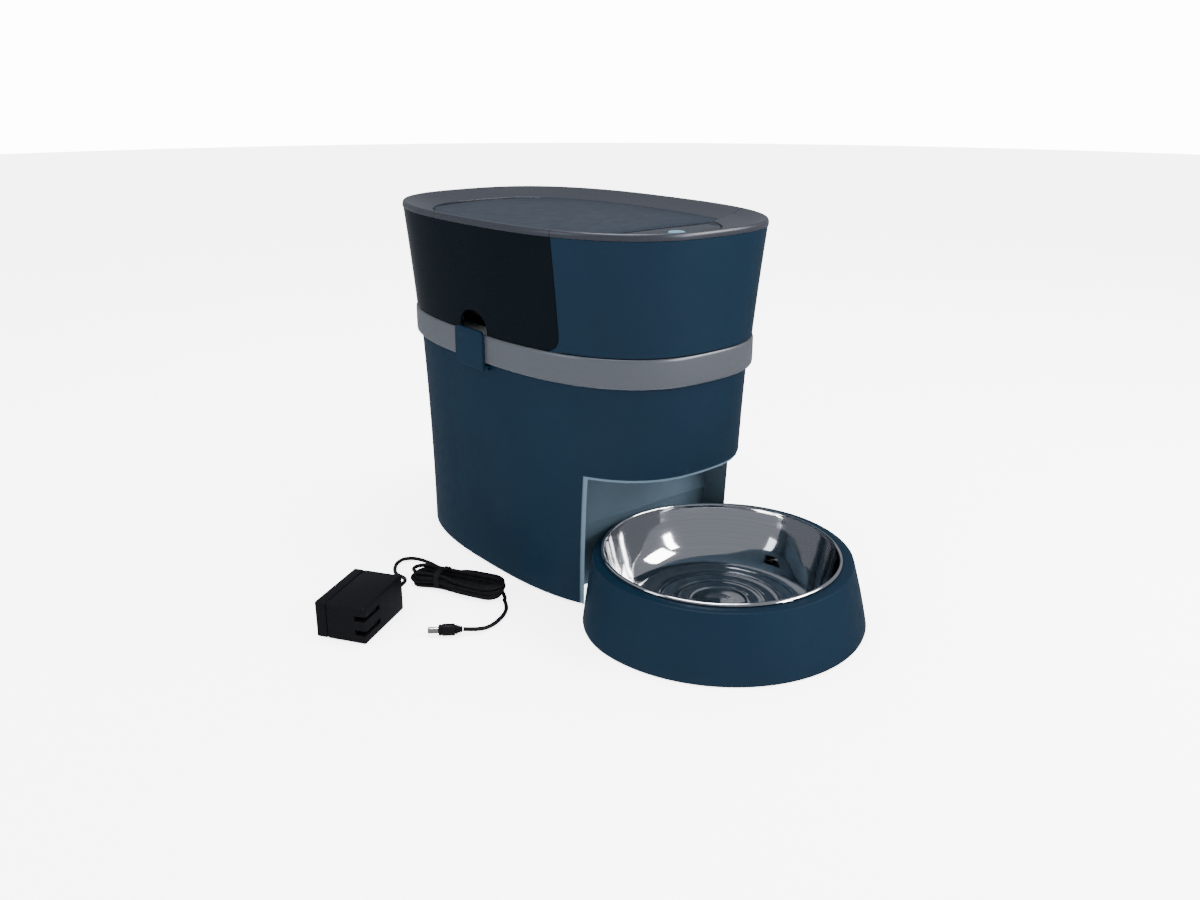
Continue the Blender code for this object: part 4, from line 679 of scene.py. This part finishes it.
# Smoked SAN, polished: black with a breath of blue, and long soft reflections.
smoke = moulded("polished_smoke_san", "#05080B", 0.16, 0.0150, 0.00006, ior=1.57)
smoke_shader = smoke.node_tree.nodes["Principled BSDF"]
smoke_shader.inputs["Specular IOR Level"].default_value = 0.015
hopper.data.materials.append(smoke)
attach(hopper, "hopper")
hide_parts("hopper")

# ---- Front tower.
# The cover over the electronics, in the same blue ABS as the base and fixed to it. It fills in under the
# hopper's rounded corners.
tower_face = SEAM_Y - SEAM_GAP
rings = [half_ring(hopper_inset(z), z, tower_face, False) for z in hopper_heights]
rings += [half_ring(hopper_inset(z) + WALL, z, tower_face - WALL, False) for z in reversed(hopper_heights)]
tower = skin("tower_shell", rings)
trim_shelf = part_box("control_lens")[0].z - 0.0003
lower_seam_wall(tower, trim_shelf, tower_face - WALL - 0.0006, tower_face + 0.001)
tower.data.materials.append(navy_abs)
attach(tower, "base")
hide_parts("tower_cover")


def wall_x(y, z, inset):
    """Half width of the body at y on the outline of the given inset."""
    return (HALF_X - inset) * (1 - (abs(y - MID_Y) / (HALF_Y - inset)) ** SQUARENESS) ** (1 / SQUARENESS)


CORNER_STEPS = 20
for side, label in ((-1, "left"), (1, "right")):
    rings = []
    for k in range(CORNER_STEPS + 1):
        turn = math.pi / 2 * k / CORNER_STEPS
        y = corner_middle[0] - (CORNER_RADIUS + 2 * SEAM_GAP) * math.cos(turn)
        top = corner_middle[1] - (CORNER_RADIUS + 2 * SEAM_GAP) * math.sin(turn)
        low = HOPPER_FOOT - 2 * SEAM_GAP
        heights = [low + (max(top, low + 0.0001) - low) * i / 5 for i in range(6)]
        outer = [Vector((side * wall_x(y, z, hopper_inset(z)), y, z)) for z in heights]
        inner = [Vector((side * (wall_x(y, z, hopper_inset(z)) - WALL), y, z)) for z in reversed(heights)]
        rings.append(outer + inner)
    corner_fill = skin("tower_corner_" + label, rings, closed=False)
    corner_fill.data.materials.append(navy_abs)
    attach(corner_fill, "base")

# ---- Rim of the hopper and trim of the tower.
# Two halves of one dished ring, sprayed the same silver as the band. The outer edge is rounded over, and the
# ring falls towards the lid.
RIM_TOP = rim_high.z
RIM_WIDTH = 0.0270
TRIM_WIDTH = 0.0360
RIM_INNER_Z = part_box("control_lens")[1].z + 0.0002
# The same spray painted darker, as painted shade: the ring faces up to the lamps and would otherwise outshine
# the band.
shaded_rim_paint = sprayed("sprayed_silver_painted_shade", "#2B2D34", 0.60, 0.34)


def dished(name, width, shelf_z, near, far):
    corners = [(0.0, hopper_high.z + 0.0003, 0.0003), (0.0, RIM_TOP - 0.0022, 0.0012),
               (0.0012, RIM_TOP - 0.0002, 0.0012),
               (0.0030, RIM_TOP, 0.0010), (0.0052, RIM_TOP - 0.0006, 0.0012),
               (0.0150, RIM_TOP - 0.0046, 0.0030),
               (width - 0.0008, RIM_INNER_Z + 0.0001, 0.0004), (width, RIM_INNER_Z - 0.0003, 0.0003),
               (width, shelf_z, 0), (width + 0.0030, shelf_z, 0.0003),
               (width + 0.0030, shelf_z - 0.0020, 0.0003),
               (0.0045, hopper_high.z - 0.0070, 0.0004), (0.0040, hopper_high.z + 0.0003, 0)]
    ring = skin(name, [full_ring(inset - FLARE, z) for inset, z in filleted(corners)])
    cut(ring, cutter((-0.2, min(near, far), shelf_z - 0.05), (0.2, max(near, far), RIM_TOP + 0.05)))
    ring.data.materials.append(shaded_rim_paint)
    return ring


hopper_ring = dished("rim_ring", RIM_WIDTH, SHELF_Z, SEAM_Y + SEAM_GAP, SEAM_Y - 0.4)
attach(hopper_ring, "hopper")
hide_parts("hopper_rim")
tower_ring = dished("tower_ring", TRIM_WIDTH, trim_shelf, SEAM_Y - SEAM_GAP, SEAM_Y + 0.4)
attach(tower_ring, "base")
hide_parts("tower_trim")

# ---- Lid with its seal and catch.
# A shallow crowned plate of blue-grey ABS, a shade lighter than the body, with a crescent at the rear where
# a finger gets under it.
lid_low, lid_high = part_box("lid")
EDGE = RIM_WIDTH - FLARE + 0.0006
lid_face = seam_face + 0.0006
RIM_LEVEL = RIM_INNER_Z
CROWN = lid_high.z - RIM_LEVEL
profile = [(0.0, lid_low.z), (0.0, RIM_LEVEL - 0.0010), (0.0003, RIM_LEVEL - 0.0004), (0.0010, RIM_LEVEL)]
profile += [(0.0010 + 0.0840 * t, RIM_LEVEL + CROWN * math.sin(math.pi / 2 * t))
            for t in (0.1, 0.25, 0.45, 0.7, 1.0)]
lid_rear = MID_Y + HALF_Y - EDGE


def crescent():
    """Outline of the finger recess at the lid's rear edge, as (x, y) points."""
    half, deep, bend = 0.0740, 0.0166, 2.5
    bow = [(x, lid_rear - deep - bend * x * x) for x in (half * (i / 12 - 1) for i in range(25))]
    return bow + [(half, lid_rear + 0.01), (-half, lid_rear + 0.01)]


def slab(outline, low_z, high_z):
    bm = bmesh.new()
    ends = [[bm.verts.new((x, y, z)) for x, y in outline] for z in (low_z, high_z)]
    for i in range(len(outline)):
        j = (i + 1) % len(outline)
        bm.faces.new((ends[0][i], ends[0][j], ends[1][j], ends[1][i]))
    bm.faces.new(ends[0])
    bm.faces.new(ends[1])
    return made_of("cutter", bm)


lid = skin("lid_plate", [half_ring(EDGE + inset, z, lid_face + inset, True) for inset, z in profile],
           closed=False)
cut(lid, slab(crescent(), lid_low.z + 0.0010, RIM_LEVEL + 0.01))
NOTCH = 0.0220
cut(lid, cutter((-NOTCH, lid_rear - 0.0115, lid_low.z - 0.01), (NOTCH, lid_rear + 0.02, RIM_LEVEL + 0.01)))
lid_abs = moulded("satin_slate_abs", "#171D25", 0.33, 0.0010, 0.00004)
lid.data.materials.append(lid_abs)
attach(lid, "lid")
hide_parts("lid")

black_abs = moulded("satin_black_abs", "#060607", 0.35, 0.0009, 0.00004)
node_objects["lid_latch"].data.materials.clear()
node_objects["lid_latch"].data.materials.append(black_abs)

# ---- Control window and its button.
# A polished black window let into the tower's trim, a pale blue key that clicks, and two lights that
# glow through it.
window_edge = TRIM_WIDTH - FLARE + 0.0012
lens_low, lens_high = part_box("control_lens")
window_profile = [(0.0, lens_low.z), (0.0, lens_high.z - 0.0004), (0.0002, lens_high.z - 0.0001),
                  (0.0005, lens_high.z),
                  (0.0120, lens_high.z)]
window = skin("control_window", [half_ring(window_edge + inset, z, tower_face - 0.0003 - inset, False)
                                 for inset, z in window_profile], closed=False)
button_low, button_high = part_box("feed_button")
button_middle = (button_low + button_high) / 2
BUTTON_RADIUS = (button_high.x - button_low.x) / 2
cut(window, rings_along("cutter", Vector((button_middle.x, button_middle.y, lens_low.z)), Vector((0, 0, 1)),
                        Vector((1, 0, 0)),
                        [(-0.01, BUTTON_RADIUS + 0.0006), (0.01, BUTTON_RADIUS + 0.0006)], 64))
polished_black = moulded("polished_black_pmma", "#0B0E13", 0.08, 0.0200, 0.00002, ior=1.49)
window.data.materials.append(polished_black)
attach(window, "base")
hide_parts("control_lens")

button_rows = [(button_low.z, 0.0016), (button_low.z + 0.0004, 0.0022), (button_low.z + 0.0036, 0.0022),
               (button_low.z + 0.0041, BUTTON_RADIUS - 0.0004), (button_low.z + 0.0045, BUTTON_RADIUS),
               (button_high.z - 0.0014, BUTTON_RADIUS), (button_high.z - 0.0008, BUTTON_RADIUS - 0.0002),
               (button_high.z - 0.0003, BUTTON_RADIUS - 0.0009), (button_high.z, BUTTON_RADIUS - 0.0020),
               (button_high.z - 0.0003, BUTTON_RADIUS - 0.0034), (button_high.z - 0.0006, 0.0010)]
button = rings_along("feed_key", Vector((button_middle.x, button_middle.y, 0)), Vector((0, 0, 1)),
                     Vector((1, 0, 0)),
                     button_rows, 64)
button.data.materials.append(moulded("pale_blue_key_abs", "#4C6474", 0.38, 0.0010, 0.00003))
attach(button, "feed_button")
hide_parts("feed_button")

# ---- Side latches.
# A springy blue ABS tab on each side, turning on a steel pin under the band. Its nose goes in over the
# hopper's foot, and its edges are well rounded.
for label, side in (("left", -1), ("right", 1)):
    low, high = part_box("latch_" + label)
    outer = max(abs(low.x), abs(high.x))
    inner = outer - 0.0032
    half = (high.y - low.y) / 2
    middle_y = (high.y + low.y) / 2
    rings = []
    for x, shrink in ((inner, 0.0004), (inner + 0.0003, 0.0), (outer - 0.0010, 0.0), (outer - 0.0004, 0.0003),
                      (outer, 0.0010)):
        corners = [(-half + shrink, low.z + 0.0001 + shrink, 0.0012),
                   (half - shrink, low.z + 0.0001 + shrink, 0.0012),
                   (half - shrink, high.z - shrink, 0.0055), (-half + shrink, high.z - shrink, 0.0055)]
        rings.append([Vector((side * x, middle_y + u, v)) for u, v in filleted(corners, 8)])
    tab = skin("latch_tab_" + label, rings, closed=False)
    pin_low, pin_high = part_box("latch_pin_" + label)
    pin = (pin_low + pin_high) / 2
    tab_barrel = rings_along("barrel", pin, Vector((0, 1, 0)), Vector((1, 0, 0)),
                             [(-half + 0.0005, 0.0018), (-half + 0.0008, 0.0021), (half - 0.0008, 0.0021),
                              (half - 0.0005, 0.0018)], 24)
    cut(tab, tab_barrel, "UNION")
    web_x = sorted((pin.x, side * (inner + 0.001)))
    cut(tab, cutter((web_x[0], middle_y - half + 0.0008, pin.z - 0.0016),
                    (web_x[1], middle_y + half - 0.0008, pin.z + 0.0016)), "UNION")
    nose_x = sorted((side * (HALF_X - STEP + 0.0003), side * (inner + 0.001)))
    cut(tab, cutter((nose_x[0], middle_y - 0.008, band_high.z + 0.0008),
                    (nose_x[1], middle_y + 0.008, high.z - 0.0006)), "UNION")
    tab.data.materials.append(navy_abs)
    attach(tab, "latch_" + label)
    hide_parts("latch_" + label)

# ---- Chute bay.
# The moulded recess that the bowl's holder slides into: two side walls, a ceiling with the drop slot and a
# sloping back. Its face is smoother than the housing's, and the same blue is painted paler on it, as painted
# sheen for the light that smooth face reflects.
liner_abs_painted_sheen = moulded("smooth_navy_abs_painted_sheen", "#3B4954", 0.30, 0.0011, 0.00003)
node_objects["chute_liner"].data.materials.clear()
node_objects["chute_liner"].data.materials.append(liner_abs_painted_sheen)

# ---- Bowl holder.
# A round-fronted tray in the same blue ABS, standing on the floor, with a flat rim and a well for the bowl.
holder_low, holder_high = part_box("bowl_holder")
bowl_low, bowl_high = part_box("steel_bowl")
BOWL_Y = (bowl_low.y + bowl_high.y) / 2
FOOT = (holder_high.x - holder_low.x) / 2
RIM = 0.1110
REAR = holder_high.y - BOWL_Y
WELL = 0.1003


def holder_ring(radius, rear, z):
    ring = []
    for i in range(FINE):
        angle = 2 * math.pi * i / FINE
        depth = rear if math.sin(angle) > 0 else radius
        ring.append(Vector((radius * math.cos(angle), BOWL_Y + depth * math.sin(angle), z)))
    return ring


TOP = holder_high.z
holder_rows = [(FOOT - 0.0012, REAR, 0.0), (FOOT - 0.0003, REAR, 0.0004), (FOOT, REAR, 0.0014)]
holder_rows += [(FOOT + (RIM - FOOT) * t + 0.0006 * math.sin(math.pi * t), REAR, 0.0014 + (TOP - 0.0034) * t)
                for t in (0.15, 0.3, 0.45, 0.6, 0.75, 0.9, 1.0)]
holder_rows += [(RIM - 0.0004, REAR - 0.0003, TOP - 0.0008), (RIM - 0.0012, REAR - 0.0008, TOP - 0.0002),
                (RIM - 0.0022, REAR - 0.0018, TOP), (WELL + 0.0012, WELL + 0.0012, TOP),
                (WELL + 0.0004, WELL + 0.0004, TOP - 0.0003), (WELL, WELL, TOP - 0.0012),
                (WELL, WELL, 0.0200),
                (WELL, WELL, 0.0042), (WELL + 0.0018, WELL + 0.0018, 0.0042),
                (WELL + 0.0018, WELL + 0.0018, TOP - 0.0030),
                (RIM - 0.0032, REAR - 0.0028, TOP - 0.0030), (FOOT - 0.0032, REAR - 0.0028, 0.0)]
holder = skin("bowl_tray", [holder_ring(*row) for row in holder_rows])
holder.data.materials.append(navy_abs)
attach(holder, "bowl_holder")
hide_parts("bowl_holder")

# ---- Steel bowl.
# Pressed from 1.2 mm stainless sheet and buffed to a mirror. The rim is rolled over, the wall swells, and the
# base has three pressed rings.
BOWL_STEPS = 144
SHEET = 0.0012
lip_z = bowl_high.z - 0.0022
OPENING = 0.0985
FLANGE = (bowl_high.x - bowl_low.x) / 2
FLOOR_Z = bowl_low.z + SHEET
wall_knots = [Vector((OPENING - 0.0002, lip_z)), Vector((0.0972, lip_z - 0.0045)),
              Vector((0.0942, lip_z - 0.0150)),
              Vector((0.0900, lip_z - 0.0258)), Vector((0.0850, lip_z - 0.0350)),
              Vector((0.0780, lip_z - 0.0425)),
              Vector((0.0700, FLOOR_Z + 0.0006)), Vector((0.0640, FLOOR_Z + 0.0001))]
wall_curve = through(wall_knots, 0.0022)
base_curve = [(0.0600, 0.0)]
for middle, height in ((0.0530, 0.0009), (0.0400, 0.0009), (0.0260, 0.0009)):
    base_curve += [(middle + 0.0036, 0.0), (middle + 0.0022, height * 0.5), (middle + 0.0010, height),
                   (middle - 0.0010, height), (middle - 0.0022, height * 0.5), (middle - 0.0036, 0.0)]
base_curve += [(0.0120, 0.0), (0.0010, 0.0)]
inside = [(p.x, p.y) for p in wall_curve] + [(r, FLOOR_Z + h) for r, h in base_curve]
outside = [(0.0010, bowl_low.z), (0.0120, bowl_low.z), (0.0640, bowl_low.z)]
outside += [(p.x + SHEET * 0.93, p.y - SHEET * 0.4) for p in reversed(wall_curve[1:-2])]
roll = [(OPENING + SHEET, lip_z - 0.0006), (FLANGE - 0.0002, lip_z + 0.0001), (FLANGE, lip_z + 0.0007),
        (FLANGE - 0.0004, lip_z + 0.0015), (FLANGE - 0.0012, lip_z + 0.0020),
        (FLANGE - 0.0020, lip_z + 0.0022),
        (OPENING + 0.0002, lip_z + 0.0017), (OPENING - 0.0002, lip_z + 0.0009)]
bowl_rings = []
for radius, z in outside + roll + inside:
    bowl_rings.append([Vector((radius * math.cos(2 * math.pi * i / BOWL_STEPS),
                               BOWL_Y + radius * math.sin(2 * math.pi * i / BOWL_STEPS),
                               z)) for i in range(BOWL_STEPS)])
bowl = skin("bowl_pressing", bowl_rings, closed=False)

# Stainless 304, buffed: a clean mirror with hairlines that run round it, where the wheel turned.
mirror_steel, tree, shader = material("buffed_stainless", 0.07, metallic=1.0)
place = add(tree, "TexCoord").outputs["Object"]
centred = add(tree, "Mapping", {"Vector": place, "Location": (0, -BOWL_Y, 0)})
parts = add(tree, "SeparateXYZ", {"Vector": centred.outputs["Vector"]})
across = add(tree, "CombineXYZ", {"X": parts.outputs["X"], "Y": parts.outputs["Y"]})
radius = add(tree, "VectorMath", {"Vector": across.outputs["Vector"]}, operation="LENGTH")
hairline = add(tree, "CombineXYZ", {"X": radius.outputs["Value"], "Y": parts.outputs["Z"]})
hairs = add(tree, "TexNoise", {"Vector": hairline.outputs["Vector"], "Scale": 1 / 0.0012, "Detail": 3.0})
smear = add(tree, "TexNoise", {"Vector": place, "Scale": 1 / 0.03, "Detail": 3.0})
wiped = add(tree, "MapRange", {"Value": smear.outputs["Fac"], "From Min": 0.35, "From Max": 0.7,
                               "To Min": 0.05, "To Max": 0.10})
tree.links.new(wiped.outputs["Result"], shader.inputs["Roughness"])
steel_tone = add(tree, "Mix", {0: hairs.outputs["Fac"], 6: srgb("#B9B9BC"), 7: srgb("#D2D2D4")},
                 data_type="RGBA")
tree.links.new(steel_tone.outputs[2], shader.inputs["Base Color"])
lines = add(tree, "Bump", {"Height": hairs.outputs["Fac"], "Distance": 0.00001, "Strength": 0.5})
tree.links.new(lines.outputs["Normal"], shader.inputs["Normal"])
bowl.data.materials.append(mirror_steel)
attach(bowl, "steel_bowl")
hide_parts("steel_bowl")

# ---- Wall adapter.
# A black polycarbonate brick in two halves, welded along a seam. Its blades fold into one corner.
ADAPTER_TURN = math.radians(32.45)
ADAPTER_LENGTH = 0.0654
ADAPTER_WIDTH = 0.0454
ADAPTER_HEIGHT = 0.0320
ADAPTER_MIDDLE = Vector((-0.2482, MID_Y - 0.0211, 0))
COVER_DEPTH = 0.0100
adapter_place = Matrix.Translation(ADAPTER_MIDDLE) @ Matrix.Rotation(ADAPTER_TURN, 4, "Z")


def brick(name, low, high, edge, steps=4):
    """A block with rounded edges, in the adapter's own axes."""
    bm = bmesh.new()
    size = [b - a for a, b in zip(low, high)]
    middle = [(a + b) / 2 for a, b in zip(low, high)]
    bmesh.ops.create_cube(bm, size=1.0, matrix=Matrix.Translation(middle) @ Matrix.Diagonal((*size, 1.0)))
    if edge:
        bmesh.ops.bevel(bm, geom=bm.edges[:], offset=edge, segments=steps, profile=0.5, affect="EDGES")
    bm.transform(adapter_place)
    return made_of(name, bm)


half_x, half_y = ADAPTER_LENGTH / 2, ADAPTER_WIDTH / 2
split = half_y - COVER_DEPTH
adapter_body = brick("adapter_case", (-half_x, -half_y, 0), (half_x, split - 0.0001, ADAPTER_HEIGHT), 0.0013)
BLADE_SPACING = 0.0127
hinge_x, hinge_y = -half_x + 0.0200, -half_y + 0.0046
for offset in (-BLADE_SPACING / 2, BLADE_SPACING / 2):
    middle = ADAPTER_HEIGHT / 2 + offset
    cut(adapter_body, brick("cutter", (-half_x - 0.002, -half_y - 0.002, middle - 0.0022),
                            (hinge_x + 0.0052, -half_y + 0.0092, middle + 0.0022), 0))
cut(adapter_body, rings_along("cutter", adapter_place @ Vector((hinge_x, hinge_y, ADAPTER_HEIGHT / 2)),
                              Vector((0, 0, 1)),
                              Vector((1, 0, 0)), [(-0.01025, 0.0041), (0.01025, 0.0041)], 32))
# The blades' nickel is rough, and its colour is painted dark as painted shade of the recess they sit in,
# so they show no bright lights there.
shaded_dull_nickel = metal("dull_nickel_plate_painted_shade", "#3A3835", 0.42, 0.0006, 0.00001, (1, 1, 1))
adapter_pc = moulded("satin_black_polycarbonate", "#08080A", 0.34, 0.0011, 0.00005)
adapter_body.data.materials.append(adapter_pc)
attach(adapter_body, "base")
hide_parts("adapter_body")
adapter_cover = brick("adapter_lid", (-half_x, split + 0.0001, 0), (half_x, half_y, ADAPTER_HEIGHT), 0.0013)
adapter_cover.data.materials.append(adapter_pc)
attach(adapter_cover, "base")
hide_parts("adapter_cover")

for node in ("prong_lower", "prong_upper"):
    low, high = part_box(node)
    blade_z = (low.z + high.z) / 2
    blade = brick(node + "_blade", (hinge_x + 0.0022 - 0.0170, hinge_y - 0.00315, blade_z - 0.00075),
                  (hinge_x + 0.0022, hinge_y + 0.00315, blade_z + 0.00075), 0.0005, 3)
    hole_at = adapter_place @ Vector((hinge_x + 0.0022 - 0.0170 + 0.0045, hinge_y, blade_z))
    cut(blade, rings_along("cutter", hole_at, Vector((0, 0, 1)), Vector((1, 0, 0)),
                           [(-0.004, 0.0015), (0.004, 0.0015)], 32))
    blade.data.materials.append(shaded_dull_nickel)
    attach(blade, "prongs")
    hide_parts(node)

# ---- The pieces inside and underneath.
# Feet, floor, deck, conveyor, drive, batteries and boards keep their CAD shapes and take their own finishes.
white_acetal = moulded("natural_acetal", "#D9D8D0", 0.38, 0.0012, 0.00002)
grey_abs = moulded("plain_grey_abs", "#6E7275", 0.45, 0.0010, 0.00005)
foot_rubber = moulded("moulded_black_rubber", "#1A1A1B", 0.75, 0.0012, 0.00010, ior=1.52)
belt_rubber = moulded("fabric_backed_belt_rubber", "#2A2A2C", 0.70, 0.0009, 0.00012, ior=1.52)
cell_wrap = moulded("printed_cell_sleeve", "#7A6428", 0.25, 0.0060, 0.00002)
board_green = moulded("solder_mask_green", "#15562B", 0.35, 0.0020, 0.00004)
amber = moulded("amber_light_pipe", "#E8B24A", 0.20, 0.0030, 0.00001, ior=1.49)
zinc_steel = metal("zinc_plated_steel", "#C3C5C6", 0.30, 0.0008, 0.00002, (1, 1, 1))
finishes = {
    white_acetal: ("conveyor_frame", "drive_roller", "idler_roller", "drive_gear"),
    grey_abs: ("base_deck", "base_floor", "gearbox"),
    navy_abs: ("battery_door",),
    foot_rubber: ("lid_seal", "foot_front_left", "foot_front_right", "foot_rear_left", "foot_rear_right"),
    belt_rubber: ("conveyor_belt",),
    cell_wrap: ("battery_1", "battery_2", "battery_3", "battery_4"),
    board_green: ("control_board", "main_board"),
    amber: ("status_light_left", "status_light_right"),
    zinc_steel: ("latch_pin_left", "latch_pin_right", "gear_motor", "motor_shaft"),
    nickel_plate: ("motor_pinion", "contact_plate_front", "contact_plate_rear"),
    black_abs: ("button_switch", "battery_box", "dc_jack", "strain_relief", "prong_carrier"),
}
for finish, nodes in finishes.items():
    for node in nodes:
        node_objects[node].data.materials.clear()
        node_objects[node].data.materials.append(finish)
